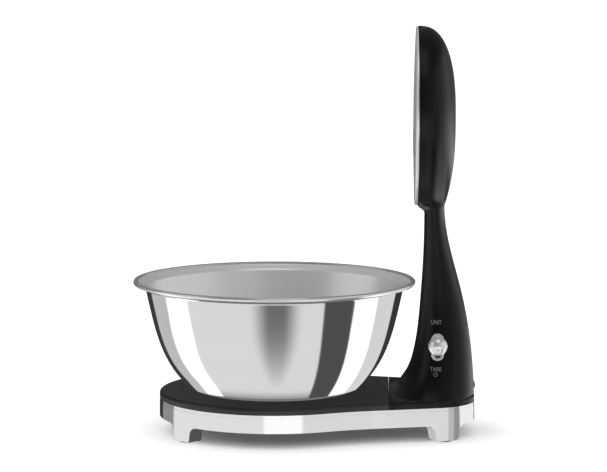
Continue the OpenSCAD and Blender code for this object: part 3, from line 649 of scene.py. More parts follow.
@dataclass(frozen=True)
class Finish:
    """One surface finish, with the values of its material."""

    name: str
    colour: Colour
    roughness: float
    metallic: float = 0.0
    texture: Texture = Texture.GRAIN
    pitch: float = 1800.0
    contrast: float = 0.25
    relief: float = 0.02
    spread: float = 0.05
    wear: float = 0.0
    worn: Colour = (0.6, 0.6, 0.6)
    smudge: float = 0.06
    dust: float = 0.0
    ior: float = 1.46
    coat: float = 0.0
    clear: float = 0.0
    glow: Optional[Colour] = None
    glow_power: float = 0.0
    centre: Point = (0.0, 0.0, 0.0)
    axis: Point = (0.0, 0.0, 0.0)

    @property
    def label(self) -> str:
        """Name of the material, apart from the record's own slots."""
        return f"{self.name}_finish"

    def material(self) -> bpy.types.Material:
        """The finish as a Blender material, built on its first use."""
        return bpy.data.materials.get(self.label) or self._made()

    def _made(self) -> bpy.types.Material:
        """Build the node tree of the finish."""
        made = bpy.data.materials.new(self.label)
        made.use_nodes = True
        made.diffuse_color = (*self.colour, 1.0)
        sheet = Sheet(made.node_tree)
        shader = made.node_tree.nodes["Principled BSDF"]
        where = sheet.add("ShaderNodeTexCoord").outputs["Object"]
        mapped = sheet.add(
            "ShaderNodeMapping", {"vector_type": "TEXTURE"}, Vector=where, Location=self.centre, Rotation=self.axis
        ).outputs[0]
        relief = self._effect(
            sheet, self.texture.value, mapped, Pitch=self.pitch, Scale=self.pitch, Contrast=self.contrast
        )
        smudge = self._effect(sheet, Effect.HANDLING, where, Scale=26.0, Amount=self.smudge).outputs["Mask"]
        tone = relief.outputs["Tone"]
        colour = sheet.blend(tone, tuple(c * 0.86 for c in self.colour), tuple(min(1.0, c * 1.14) for c in self.colour))
        if self.wear:
            worn = self._effect(sheet, Effect.EDGE_WEAR, where, Scale=420.0, Amount=self.wear).outputs["Mask"]
            colour = sheet.blend(worn, colour, self.worn)
        if self.dust:
            dust = self._effect(sheet, Effect.DUST, where, Scale=900.0, Amount=self.dust).outputs["Mask"]
            colour = sheet.blend(dust, colour, (0.42, 0.41, 0.39))
        rough = sheet.swing(tone, self.spread, self.roughness)
        rough = sheet.plus(rough, smudge, held=True)
        height = relief.outputs["Height"]
        bump = sheet.add("ShaderNodeBump", None, Height=height, Strength=1.0, Distance=self.relief * MM)
        sheet.feed(shader.inputs["Base Color"], colour)
        sheet.feed(shader.inputs["Roughness"], rough)
        sheet.feed(shader.inputs["Normal"], bump.outputs[0])
        plain = {
            "Metallic": self.metallic, "IOR": self.ior, "Coat Weight": self.coat,
            "Coat Roughness": 0.08, "Transmission Weight": self.clear,
        }
        for socket, value in plain.items():
            shader.inputs[socket].default_value = value
        if self.glow:
            shader.inputs["Emission Color"].default_value = (*self.glow, 1.0)
            shader.inputs["Emission Strength"].default_value = self.glow_power
        return made

    @staticmethod
    def _effect(sheet: Sheet, effect: Effect, place: object, **values: float) -> bpy.types.Node:
        """Place a shared effect with this finish's own values."""
        node = sheet.add("ShaderNodeGroup", {"node_tree": effect.group()}, Vector=place)
        for name, value in values.items():
            if name in node.inputs:
                node.inputs[name].default_value = value
        return node


class Finishes:
    """Every finish of the scale by name."""

    def __init__(self, sizes: ScaleSizes) -> None:
        """Set the finishes up round the bowl axis and the dial."""
        bowl_axis = (sizes.axis_x, 0.0, 0.0)
        dial_axis = (sizes.axis_x + sizes.face_x * MM, 0.0, sizes.head_z * MM)
        across = (0.0, math.radians(90), 0.0)
        upright = {"texture": Texture.DRAWN}
        self.chrome = Finish(
            "chrome_casting", (0.86, 0.87, 0.88), 0.05, 1.0, pitch=260.0, contrast=0.06, relief=0.004, spread=0.02,
            smudge=0.05, dust=0.05,
        )
        self.rubber = Finish("foot_rubber", (0.022, 0.022, 0.022), 0.72, pitch=1400.0, relief=0.05, dust=0.2, wear=0.2)
        self.tray = Finish("tray_plastic", (0.028, 0.028, 0.031), 0.52, pitch=1500.0, relief=0.04, dust=0.1)
        self.steel = Finish("screw_steel", (0.62, 0.63, 0.64), 0.28, 1.0, wear=0.4, worn=(0.8, 0.8, 0.8))
        self.aluminium = Finish("cell_aluminium", (0.78, 0.79, 0.80), 0.34, 1.0, pitch=900.0, **upright)
        self.carrier = Finish("carrier_steel", (0.55, 0.57, 0.60), 0.38, 1.0, pitch=700.0, contrast=0.5)
        self.body = Finish(
            "body_plastic", (0.0055, 0.0055, 0.0060), 0.28, pitch=1500.0, contrast=0.2, relief=0.006, spread=0.06,
            smudge=0.08, wear=0.25, worn=(0.05, 0.05, 0.05), dust=0.02, ior=1.28,
        )
        # a lighter copy of the body's black plastic for the platform: painted light on its front and shoulder
        self.painted_light_deck = Finish(
            "platform_plastic", (0.015, 0.015, 0.0155), 0.34, pitch=1500.0, contrast=0.2, relief=0.006, spread=0.06,
            smudge=0.08, wear=0.2, worn=(0.08, 0.08, 0.08), dust=0.02, ior=1.5,
        )
        self.door = Finish(
            "door_plastic", (0.0065, 0.0065, 0.0070), 0.33, pitch=1400.0, relief=0.012, smudge=0.08, wear=0.3,
            worn=(0.05, 0.05, 0.05),
        )
        self.holder = Finish("holder_plastic", (0.012, 0.012, 0.013), 0.48, pitch=1300.0, relief=0.03)
        self.wrap = Finish("battery_wrap", (0.55, 0.24, 0.05), 0.32, pitch=300.0, contrast=0.3, coat=0.4)
        self.contact = Finish("contact_metal", (0.78, 0.76, 0.70), 0.22, 1.0, wear=0.3)
        self.laminate = Finish("board_laminate", (0.02, 0.16, 0.06), 0.36, pitch=1200.0, contrast=0.8, coat=0.3)
        self.dial = Finish(
            "dial_silver", (0.80, 0.81, 0.82), 0.28, 0.45, Texture.SPUN, pitch=2600.0, contrast=0.3, relief=0.003,
            spread=0.12, smudge=0.06, centre=dial_axis, axis=across,
        )
        self.window = Finish(
            "window_smoke", (0.10, 0.10, 0.11), 0.06, ior=1.49, pitch=500.0, contrast=0.05, relief=0.001, clear=0.75,
            smudge=0.05,
        )
        self.display = Finish("display_back", (0.02, 0.006, 0.006), 0.22, pitch=900.0, relief=0.004)
        self.unlit = Finish("segment_unlit", (0.05, 0.012, 0.012), 0.3, pitch=900.0, relief=0.004)
        self.lit = Finish(
            "segment_lit", (0.6, 0.03, 0.02), 0.3, pitch=900.0, relief=0.004, glow=(1.0, 0.05, 0.02), glow_power=2.2,
        )
        self.knob = Finish(
            "lever_metal", (0.86, 0.87, 0.88), 0.20, 0.6, pitch=300.0, contrast=0.05, relief=0.002, spread=0.02,
            smudge=0.05,
        )
        self.plate = Finish(
            "plate_metal", (0.86, 0.87, 0.88), 0.26, 0.6, Texture.DRAWN, pitch=2200.0, contrast=0.2, relief=0.002,
        )
        self.switch = Finish("switch_plastic", (0.03, 0.03, 0.032), 0.5, relief=0.02)
        self.cable = Finish("cable_sheath", (0.30, 0.30, 0.31), 0.5, relief=0.02)
        self.ribbon = Finish("ribbon_sheath", (0.42, 0.43, 0.45), 0.42, pitch=700.0, contrast=0.9, **upright)
        self.lead = Finish("lead_sheath", (0.42, 0.03, 0.03), 0.45, relief=0.02)
        self.print = Finish("legend_print", (0.22, 0.22, 0.225), 0.45, pitch=2400.0, contrast=0.5, relief=0.002)
        self.polished = Finish(
            "bowl_polished", (0.80, 0.80, 0.80), 0.05, 1.0, Texture.SPUN, pitch=700.0, contrast=0.08, relief=0.0006,
            spread=0.03, smudge=0.05, centre=bowl_axis,
        )
        self.rim = Finish(
            "bowl_rim", (0.84, 0.84, 0.84), 0.16, 0.75, Texture.SPUN, pitch=1800.0, contrast=0.15, relief=0.001,
            spread=0.05, smudge=0.05, centre=bowl_axis,
        )
        # near-black finish without sheen for the faces inside the seam: painted shade in the gap
        self.gap = Finish("seam_shade", (0.002, 0.002, 0.002), 0.9, relief=0.0, smudge=0.0, ior=1.0)
        self.brushed = Finish(
            "bowl_brushed", (0.86, 0.86, 0.85), 0.28, 0.45, Texture.SPUN, pitch=2600.0, contrast=0.3, relief=0.003,
            spread=0.10, smudge=0.05, dust=0.04, centre=bowl_axis,
        )


# ---------------------------------------------------------------- outlines


@dataclass(frozen=True)
class BaseOutline:
    """Plan of the base: a disc, a waist and a tapering tail with round corners."""

    sizes: ScaleSizes
    corner_share: float = 0.437
    spread_share: float = 0.164
    tail_angle: float = 15.0
    waist_r: float = 200.0
    seam_gap: float = 0.2
    seam_shift: float = 1.4

    @property
    def seam(self) -> float:
        """Where the seam shows."""
        return self.sizes.seam_x + self.seam_shift

    @property
    def corner_r(self) -> float:
        """Radius of the rear corners."""
        return self.corner_share * self.sizes.plan_r

    @property
    def corner(self) -> Plan:
        """Centre of the left rear corner."""
        return (self.sizes.rear_x - self.corner_r, self.spread_share * self.sizes.plan_r)

    @property
    def side(self) -> tuple[Plan, float]:
        """Normal of the tapering side and its distance from the bowl axis."""
        turn = math.radians(self.tail_angle)
        normal = (math.sin(turn), math.cos(turn))
        return normal, normal[0] * self.corner[0] + normal[1] * self.corner[1] + self.corner_r

    @property
    def waist(self) -> tuple[Plan, float]:
        """Centre of the waist's hollow curve and its direction in degrees."""
        (nx, ny), reach = self.side
        across = reach + self.waist_r
        along = math.sqrt((self.sizes.plan_r + self.waist_r) ** 2 - across**2)
        centre = (nx * across + ny * along, ny * across - nx * along)
        return centre, math.degrees(math.atan2(centre[1], centre[0]))

    def side_at(self, x: float, inset: float) -> float:
        """Half width of the tapering tail at x."""
        (nx, ny), reach = self.side
        return (reach - inset - nx * x) / ny

    def platform(self, inset: float, seam: float) -> list[Plan]:
        """Outline of the platform in front of the seam."""
        centre, turn = self.waist
        edge = self.seam - self.seam_gap / 2 - seam
        half = arc((0, 0), self.sizes.plan_r - inset, 180, turn, 96)
        half += arc(centre, self.waist_r + inset, 180 + turn, 270 - self.tail_angle, 12)[1:-1]
        half += [(edge, self.side_at(edge, inset))]
        return self.mirrored(half, True)

    def foot(self, inset: float, seam: float) -> list[Plan]:
        """Outline of the column foot behind the seam."""
        edge = self.seam + self.seam_gap / 2 + seam
        half = [(edge, self.side_at(edge, inset))]
        half += arc(self.corner, self.corner_r - inset, 90 - self.tail_angle, 0, 40)
        return self.mirrored(half, False)

    def shade(self, piece: bpy.types.Object, dress: int = 1) -> bpy.types.Object:
        """Give the faces inside the seam a near-black finish: painted shade in the gap."""
        seam_x = self.sizes.place((self.seam, 0, 0))[0]
        for face in piece.data.polygons:
            if abs(face.center.x - seam_x) < 0.5 * MM and abs(face.normal.x) > 0.7:
                face.material_index = dress
        return piece

    @staticmethod
    def mirrored(half: list[Plan], tip: bool) -> list[Plan]:
        """Close one half of an outline, counter-clockwise; tip if its first point is on the middle."""
        lower = [(x, -y) for x, y in half]
        upper = half[::-1]
        return lower + (upper[:-1] if tip else upper)


@dataclass(frozen=True)
class ColumnForm:
    """Surface of the hollow column and its round head."""

    sizes: ScaleSizes
    foot_gap: float = 2.2
    foot_w: float = 109.0
    neck_w: float = 57.6
    chin_step: float = 5.5
    head_depth: float = 29.8
    squareness: float = 2.35
    head_squareness: float = 2.55
    chin_share: float = 0.2785
    chin_power: float = 2.75
    wide_share: float = 0.42
    wall: float = 2.5
    front_line: tuple = (
        (0, 0, 11), (0.07, 0.37, 4.2), (0.2, 0.68, 1.33), (0.51, 0.9, 0.42), (0.86, 0.996, 0.08), (1, 1, 0),
    )
    rear_line: tuple = ((0, 0, 0.2), (0.51, 0.39, 1.43), (1, 1, 0))
    side_line: tuple = ((0, 0, 5), (0.08, 0.3, 2.7), (0.25, 0.61, 1.3), (0.52, 0.88, 0.6), (1, 1, 0))

    @property
    def chin_z(self) -> float:
        """Height of the lowest point of the round head."""
        return self.sizes.head_z - self.sizes.head_r

    @staticmethod
    def curve(stations: tuple, share: float) -> float:
        """Smooth line through stations of (place, value, slope)."""
        i = 0
        while i < len(stations) - 2 and share > stations[i + 1][0]:
            i += 1
        (p0, v0, s0), (p1, v1, s1) = stations[i], stations[i + 1]
        h = p1 - p0
        t = (share - p0) / h
        ends = v0 * (1 + 2 * t) * (1 - t) ** 2 + v1 * t * t * (3 - 2 * t)
        return ends + h * (s0 * t * (1 - t) ** 2 + s1 * t * t * (t - 1))

    def rise(self, z: float) -> float:
        """Share of the way from foot to neck."""
        return max(0.0, (min(z, self.chin_z) - self.sizes.top_z) / (self.chin_z - self.sizes.top_z))

    def front_x(self, z: float) -> float:
        """Front of the column at a height."""
        foot = self.sizes.seam_x + self.foot_gap
        neck = self.sizes.face_x + self.chin_step
        return foot + (neck - foot) * self.curve(self.front_line, self.rise(z))

    def back_x(self, z: float) -> float:
        """Back of the column at a height."""
        face = self.sizes.face_x
        if z < self.chin_z:
            neck = face + (1 - self.chin_share) * self.head_depth
            return self.sizes.rear_x + (neck - self.sizes.rear_x) * self.curve(self.rear_line, self.rise(z))
        v = (z - self.sizes.head_z) / self.sizes.head_r
        if v < 0:
            return face + self.head_depth * (1 - self.chin_share * (-v) ** self.chin_power)
        return face + self.head_depth * max(0.0, 1 - v**self.head_squareness) ** (1 / self.head_squareness)

    def side_y(self, z: float) -> float:
        """Half width of the column at a height."""
        r, up = self.sizes.head_r, z - self.sizes.head_z
        neck = self.foot_w / 2 + (self.neck_w - self.foot_w) / 2 * self.curve(self.side_line, self.rise(z))
        disc = math.sqrt(max(0.0, r * r - up * up)) if z > self.chin_z else 0.0
        return disc if up > 0 else (neck**8 + disc**8) ** 0.125

    def on_disc(self, y: float, z: float) -> float:
        """How far a point belongs to the round head, from 0 to 1."""
        if z < self.chin_z - 12:
            return 0.0
        return 1 - smooth((math.hypot(y, z - self.sizes.head_z) - self.sizes.head_r + 0.6) / 6)

    def wide_x(self, z: float) -> float:
        """Where the section is widest."""
        w = self.on_disc(self.side_y(z), z)
        front = self.front_x(z)
        return w * (self.sizes.face_x + 0.8) + (1 - w) * (front + self.wide_share * (self.back_x(z) - front))

    def power(self, z: float) -> float:
        """Squareness of the section at a height."""
        if z < self.chin_z:
            return self.squareness
        gain = self.head_squareness - self.squareness
        return self.squareness + gain * smooth((z - self.chin_z) / self.sizes.head_r)

    def point(self, z: float, angle: float, inset: float) -> Point:
        """One point of the surface at a height and an angle in degrees."""
        n = self.power(z)
        b = max(0.05, self.side_y(z) - inset)
        c, s = math.cos(math.radians(angle)), math.sin(math.radians(angle))
        c = 0.0 if abs(c) < 1e-12 else c
        y = b * math.copysign(abs(s) ** (2 / n), s)
        wide = self.wide_x(z)
        if c >= 0:
            return (wide + max(0.0, self.back_x(z) - inset - wide) * c ** (2 / n), y, z)
        w = self.on_disc(y, z)
        neck = wide - (wide - self.front_x(z) - inset) * abs(c) ** (2 / n)
        flat = min(wide, self.sizes.face_x + inset + 0.8 * (abs(y) / b) ** 8)
        return (w * flat + (1 - w) * neck, y, z)

    def section(self, z: float, inset: float, steps: int) -> list[Point]:
        """The whole section at a height."""
        return [self.point(z, 360 * i / steps, inset) for i in range(steps)]

    def side_surface(self, x: float, z: float) -> float:
        """Half width of the surface at x, on the column's side."""
        wide, n, b = self.wide_x(z), self.power(z), self.side_y(z)
        reach = self.back_x(z) - wide if x >= wide else wide - self.front_x(z)
        return b * max(0.0, 1 - min(1.0, abs(x - wide) / reach) ** n) ** (1 / n)

    def levels(self, neck: int, head: int) -> list[float]:
        """Heights of the sections, closer together where the form turns."""
        top, chin, mid, r = self.sizes.top_z, self.chin_z, self.sizes.head_z, self.sizes.head_r
        low = [top + (chin - top) * (1 - math.cos(math.pi * i / neck)) / 2 for i in range(neck)]
        return low + [mid - r * math.cos(math.pi * min(head - 0.35, i) / head) for i in range(head + 1)]


# ---------------------------------------------------------------- sub-assemblies


@dataclass
class BaseCasting:
    """Bright cast ring on four legs with rubber pads."""

    sizes: ScaleSizes
    finishes: Finishes
    edge: float = 0.45

    def build(self) -> None:
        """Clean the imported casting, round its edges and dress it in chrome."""
        ring = refined("base_frame", "base_ring")
        eased(ring, self.edge, 3, 38.0)
        finished(ring, "base", (self.finishes.chrome,))


@dataclass
class Platform:
    """Weighing platform in front of the seam."""

    sizes: ScaleSizes
    finishes: Finishes
    outline: BaseOutline
    gap: float = 0.5
    wall: float = 2.5
    shoulder: float = 2.2
    margin: float = 0.1

    def build(self) -> None:
        """Loft the slab with its round shoulder and hollow underside."""
        skin = Skin(self.sizes)
        top, low = self.sizes.top_z, self.sizes.band_top + self.gap
        rises = [(low, 0.0)] + [
            (top - self.shoulder + self.shoulder * math.sin(a), self.shoulder * (1 - math.cos(a)))
            for a in QUARTER
        ]
        rings = [
            skin.level(self.outline.platform(self.margin + s, SEAM_EASE * s / self.shoulder), z)
            for z, s in rises
        ]
        under = [skin.level(self.outline.platform(self.wall, self.wall), z) for z in (low, top - self.wall)]
        skin.loft([under[1], under[0], *rings])
        # the faces inside the seam wear the near-black seam_shade finish: painted shade in the gap
        slab = self.outline.shade(skin.build("platform_slab"))
        finished(slab, "platform", (self.finishes.painted_light_deck, self.finishes.gap), ("platform",))


@dataclass
class LeverPlace:
    """Where the lever stands on the side of the column."""

    sizes: ScaleSizes
    form: ColumnForm
    x: float = 129.0
    rise: float = 40.1

    @property
    def z(self) -> float:
        """Height of the lever's plate."""
        return self.sizes.top_z + self.rise

    def matrix(self) -> Matrix:
        """From lever millimetres, with -Y outwards, to the scale's millimetres."""
        slope = (self.form.side_y(self.z - 5) - self.form.side_y(self.z + 5)) / 10
        place = Matrix.Translation((self.x, -self.form.side_y(self.z), self.z))
        return place @ Matrix.Rotation(-math.atan(slope), 4, "X")


@dataclass
class ColumnShell:
    """Hollow moulded column with its round head, cut open for dial, lever and door."""

    sizes: ScaleSizes
    finishes: Finishes
    outline: BaseOutline
    form: ColumnForm
    lever: LeverPlace
    shoulder: float = 2.2
    wall: float = 2.5
    margin: float = 0.1
    spigot_r: float = 66.0
    plate: Plan = (10.0, 22.0)
    lever_cut: Plan = (-10.0, 8.0)
    door_cut: Plan = (-14.0, 10.0)
    door: tuple[float, float, float] = (39.0, 5.0, 55.0)
    steps: int = 144

    def shell(self) -> bpy.types.Object:
        """Outer and inner skin of the column, closed at the foot."""
        skin, form, top = Skin(self.sizes), self.form, self.sizes.top_z
        start = top - self.wall + 0.1
        levels = form.levels(64, 84)
        outer = [[(x, y, start) for x, y, _ in form.section(top, 0, self.steps)]]
        outer += [form.section(z, 0, self.steps) for z in levels]
        inner = [[(x, y, start) for x, y, _ in form.section(top, self.wall, self.steps)]]
        mid, r = self.sizes.head_z, self.sizes.head_r
        for z in levels[:-1]:
            held = z if z < mid else mid + (z - mid) * (r - self.wall) / r
            inner.append([(x, y, held) for x, y, _ in form.section(z, self.wall, self.steps)])
        rows = [skin.ring(r) for r in inner[::-1]] + [skin.ring(r) for r in outer]
        skin.loft(rows)
        return skin.build("column_shell")

    def prism(self, points: Sequence[Plan], low: float, high: float) -> bpy.types.Object:
        """An upright prism used as a cutter."""
        skin = Skin(self.sizes)
        skin.loft([skin.level(points, z) for z in (low, high)])
        return skin.build("cutter")

    def foot(self) -> bpy.types.Object:
        """Slab under the column with a round shoulder, hollow below."""
        skin, top, low = Skin(self.sizes), self.sizes.top_z, self.sizes.band_top
        rises = [(low, 0.0)] + [
            (top - self.shoulder * (1 - math.sin(a)), self.shoulder * (1 - math.cos(a)))
            for a in QUARTER
        ]
        skin.loft([
            skin.level(self.outline.foot(self.margin + s, SEAM_EASE * s / self.shoulder), z) for z, s in rises
        ])
        slab = skin.build("column_foot")
        hollow = self.prism(self.outline.foot(self.wall, self.wall), low - 1, top - self.wall)
        hole = self.prism([p[:2] for p in self.form.section(top, self.wall + 0.3, 72)], low - 2, top + 1)
        return joined(joined(slab, hollow, Join.CUT), hole, Join.CUT)

    def dial_bore(self) -> bpy.types.Object:
        """Cutter for the round mouth behind the dial cover."""
        skin = Skin(self.sizes)
        place = Matrix.Translation((self.sizes.face_x - 1, 0, self.sizes.head_z)) @ Matrix.Rotation(math.pi / 2, 4, "Y")
        skin.lathe([(0, 0), (self.spigot_r, 0), (self.spigot_r, self.wall + 3), (0, self.wall + 3)], 180, place)
        return skin.build("cutter")

    def lever_bore(self) -> bpy.types.Object:
        """Cutter for the oval mouth of the lever plate."""
        skin, place = Skin(self.sizes), self.lever.matrix()
        oval = stadium(*self.plate, 24)
        skin.loft([skin.laid(place, [(x, y, z) for x, z in oval]) for y in self.lever_cut])
        return skin.build("cutter")

    def door_bore(self) -> bpy.types.Object:
        """Cutter for the mouth of the battery door."""
        width, low, high = self.door
        inner, outer = self.door_cut
        mouth = [
            (self.sizes.rear_x + x, s * width / 2) for x, s in ((inner, -1), (outer, -1), (outer, 1), (inner, 1))
        ]
        return self.prism(mouth, self.sizes.top_z + low, self.sizes.top_z + high)

    def build(self) -> None:
        """Make the shell, join the foot and cut the three mouths."""
        column = joined(self.shell(), self.foot(), Join.ADD)
        for cutter in (self.dial_bore(), self.lever_bore(), self.door_bore()):
            joined(column, cutter, Join.CUT)
        # the faces inside the seam wear the near-black seam_shade finish: painted shade in the gap
        self.outline.shade(column)
        finished(column, "base", (self.finishes.body, self.finishes.gap), ("column_housing",))


@dataclass
class BatteryDoor:
    """Door in the back of the column, which follows its surface."""

    sizes: ScaleSizes
    finishes: Finishes
    form: ColumnForm
    width: float = 39.0
    low: float = 5.0
    high: float = 55.0
    gap: float = 0.4
    proud: float = 0.15
    sheet: float = 0.5
    tab_half: float = 8.0
    tab_span: Plan = (-2.5, 0.9)
    prong_half: float = 5.3
    ribs: int = 4
    rib_pitch: float = 1.6
    steps: int = 28

    def surface(self, y: float, z: float, inset: float) -> float:
        """Back of the column at a place, inset."""
        n, wide = self.form.squareness, self.form.wide_x(z)
        b = self.form.side_y(z) - inset
        return wide + (self.form.back_x(z) - inset - wide) * (1 - (abs(y) / b) ** n) ** (1 / n)

    def box(self, skin: Skin, low: Point, high: Point) -> None:
        """Add a closed box between two corners."""
        (x0, y0, z0), (x1, y1, z1) = low, high
        plan = ((x0, y0), (x1, y0), (x1, y1), (x0, y1))
        skin.loft([skin.level(plan, z) for z in (z0, z1)])

    def grip(self, skin: Skin, z0: float) -> None:
        """Finger ribs above the tab."""
        for i in range(self.ribs):
            z = z0 + 5 + self.rib_pitch * i
            x = self.surface(0, z, 0)
            half = 6.5 - 0.5 * i
            skin.loft([
                skin.ring([(x - 0.4, s * half, z - 0.35), (x + 0.02, s * half, z), (x - 0.4, s * half, z + 0.35)])
                for s in (-1, 1)
            ])

    def build(self) -> None:
        """Loft the panel, and add its tab, prong and ribs."""
        skin, top = Skin(self.sizes), self.sizes.top_z
        z0, z1 = top + self.low, top + self.high
        half = self.width / 2 - self.gap
        across = [half - 2 * half * j / self.steps for j in range(self.steps + 1)]
        rings = []
        for i in range(self.steps + 1):
            z = z0 + self.gap + (z1 - z0 - 2 * self.gap) * i / self.steps
            outer = [(self.surface(y, z, 0.0), y, z) for y in across]
            inner = [(self.surface(y, z, self.form.wall), y, z) for y in across[::-1]]
            rings.append(skin.ring(outer + inner))
        skin.loft(rings, caps=False)
        count = len(across)
        for ring in (rings[0], rings[-1]):
            skin.bridge(ring[:count], ring[:count - 1:-1], closed=False)
        back = self.form.back_x(z0) - self.form.wall
        rear = self.sizes.rear_x + self.proud
        tab, pin = self.tab_half, self.prong_half
        prong = self.form.back_x(z1) - self.form.wall - 2.3
        low, high = (z0 + z for z in self.tab_span)
        self.box(skin, (rear, -tab, low), (rear + self.sheet, tab, high))
        self.box(skin, (back + 1, -tab, z0 + self.gap), (rear + self.sheet, tab, z0 + self.gap + self.sheet))
        self.box(skin, (prong, -pin, z1 - 4.3), (prong + 3.2, pin, z1 - 1.2))
        self.box(skin, (prong, -pin, z1 - 2), (prong + 1.7, pin, z1 + 2))
        self.grip(skin, z0)
        door = eased(skin.build("door_panel"), 0.18, 2)
        finished(door, "battery_door", (self.finishes.door,), ("battery_door",))


@dataclass
class DialHead:
    """Silver dial cover with its smoke window and the red digits behind."""

    sizes: ScaleSizes
    finishes: Finishes
    cover_top: float = 1.7
    cover_bottom: float = 2.4
    dome: float = 1.5
    sheet: float = 1.2
    edge: float = 1.3
    spigot_r: float = 66.0
    spigot: float = 5.0
    spigot_wall: float = 1.6
    seat: float = 0.4
    groove: tuple[Plan, ...] = ((3.0, 0), (3.25, 0.22), (3.65, 0.22), (3.9, 0))
    digit: Plan = (6.2, 11.0)
    digit_pitch: float = 10.5
    bar: float = 1.25
    lean: float = 0.12
    bar_gap: float = 0.35
    bar_span: Plan = (-0.3, -0.12)
    window: Plan = (58.0, 22.0)
    drop: float = 20.0
    corner: float = 3.0
    steps: int = 180

    @property
    def radius(self) -> float:
        """Radius of the cover."""
        return self.sizes.head_r - 0.4

    def matrix(self) -> Matrix:
        """From dial millimetres, with Z out of the dial and Y up, to the scale's."""
        place = Matrix.Translation((self.sizes.face_x, 0, self.sizes.head_z))
        return place @ Matrix.Rotation(-math.pi / 2, 4, "Y") @ Matrix.Rotation(-math.pi / 2, 4, "Z")

    def height(self, x: float, y: float, lower: float = 0.0) -> float:
        """Height of the cover's face above the dial plane."""
        lean = (self.cover_bottom - self.cover_top) / (2 * self.sizes.head_r)
        mid = (self.cover_bottom + self.cover_top) / 2
        return mid - y * lean - lower + self.dome * (1 - (x * x + y * y) / self.radius**2)

    def ring(self, skin: Skin, radius: float, drop: Callable[[float, float], float]) -> list[int]:
        """One ring of the cover, at heights from a function of place."""
        place = self.matrix()
        turn = arc((0, 0), radius, 0, 360 - 360 / self.steps, self.steps - 1)
        return skin.laid(place, [(x, y, drop(x, y)) for x, y in turn])

    def cover(self) -> None:
        """Domed cover with a rolled edge, a shallow groove and a spigot behind."""
        skin, r, edge = Skin(self.sizes), self.radius, self.edge
        inner, outer = self.spigot_r - self.spigot_wall, self.spigot_r - 0.1
        step = inner - 0.8
        rings = [
            self.ring(skin, radius, lambda x, y: self.height(x, y, self.sheet)) for radius in (0.4, 20, 40, step)
        ]
        for radius, level in (
            (step, self.seat), (inner, self.seat), (inner, -self.spigot), (outer, -self.spigot), (outer, 0), (r, 0),
        ):
            rings.append(self.ring(skin, radius, lambda x, y, z=level: z))
        for a in range(0, 91, 15):
            turn = math.radians(a)
            rings.append(self.ring(
                skin, r - edge * (1 - math.cos(turn)), lambda x, y, t=turn: self.height(x, y) - edge * (1 - math.sin(t))
            ))
        for inset, sink in self.groove:
            rings.append(self.ring(skin, r - inset, lambda x, y, s=sink: self.height(x, y, s)))
        for i in range(14, 0, -1):
            rings.append(self.ring(skin, 4.6 * i, lambda x, y: self.height(x, y)))
        rings.append(self.ring(skin, 0.4, lambda x, y: self.height(x, y)))
        skin.loft(rings)
        cover = skin.build("dial_face")
        joined(cover, self.window_block(0.15, -8, 12, "cutter"), Join.CUT)
        finished(eased(cover, 0.12, 2, 60.0), "base", (self.finishes.dial,), ("dial_cover",))

    def window_block(self, play: float, low: float, high: float, name: str) -> bpy.types.Object:
        """A plain block of the window's outline."""
        skin, place = Skin(self.sizes), self.matrix()
        outline = rounded_box(self.window[0] + 2 * play, self.window[1] + 2 * play, self.corner, 10)
        skin.loft([skin.laid(place, [(x, y - self.drop, z) for x, y in outline]) for z in (low, high)])
        return skin.build(name)

    def glass(self) -> None:
        """Window that carries on the cover's dome."""
        skin, place = Skin(self.sizes), self.matrix()
        outline = rounded_box(*self.window, self.corner, 10)
        rings = []
        for share, lift in (
            (0.05, None), (0.5, None), (1.0, None), (1.0, 0.25), (0.994, 0.05), (0.97, 0.0), (0.7, 0.0), (0.4, 0.0),
            (0.05, 0.0),
        ):
            spots = [(x * share, y * share - self.drop) for x, y in outline]
            rings.append(skin.laid(place, [
                (x, y, self.seat if lift is None else self.height(x, y, lift)) for x, y in spots
            ]))
        skin.loft(rings)
        finished(skin.build("window_glass"), "base", (self.finishes.window,), ("display_window",))

    def digits(self) -> None:
        """Four seven-segment places on the front of the module; the last shows nought."""
        skin, place = Skin(self.sizes), self.matrix()
        (wide, tall), bar, lean = self.digit, self.bar, self.lean
        half = tall / 2
        spots = {
            "top": ((0, half), False), "middle": ((0, 0), False), "bottom": ((0, -half), False),
            "upper_left": ((-wide / 2, half / 2), True), "upper_right": ((wide / 2, half / 2), True),
            "lower_left": ((-wide / 2, -half / 2), True), "lower_right": ((wide / 2, -half / 2), True),
        }
        for place_number in range(4):
            centre = (place_number - 1.5) * self.digit_pitch
            for name, ((cx, cy), upright) in spots.items():
                long = (half if upright else wide) / 2 - self.bar_gap
                shape = [(-long, 0), (-long + bar / 2, -bar / 2), (long - bar / 2, -bar / 2), (long, 0),
                         (long - bar / 2, bar / 2), (-long + bar / 2, bar / 2)]
                turned = [(-b, a) if upright else (a, b) for a, b in shape]
                spread = [(centre + cx + a + lean * (cy + b), cy + b - self.drop) for a, b in turned]
                lit = place_number == 3 and name != "middle"
                skin.loft(
                    [skin.laid(place, [(x, y, z) for x, y in spread]) for z in self.bar_span], dress=1 if lit else 0
                )
        finished(skin.build("display_segments"), "base", (self.finishes.unlit, self.finishes.lit))

    def build(self) -> None:
        """Make cover, window and digits."""
        self.cover()
        self.glass()
        self.digits()


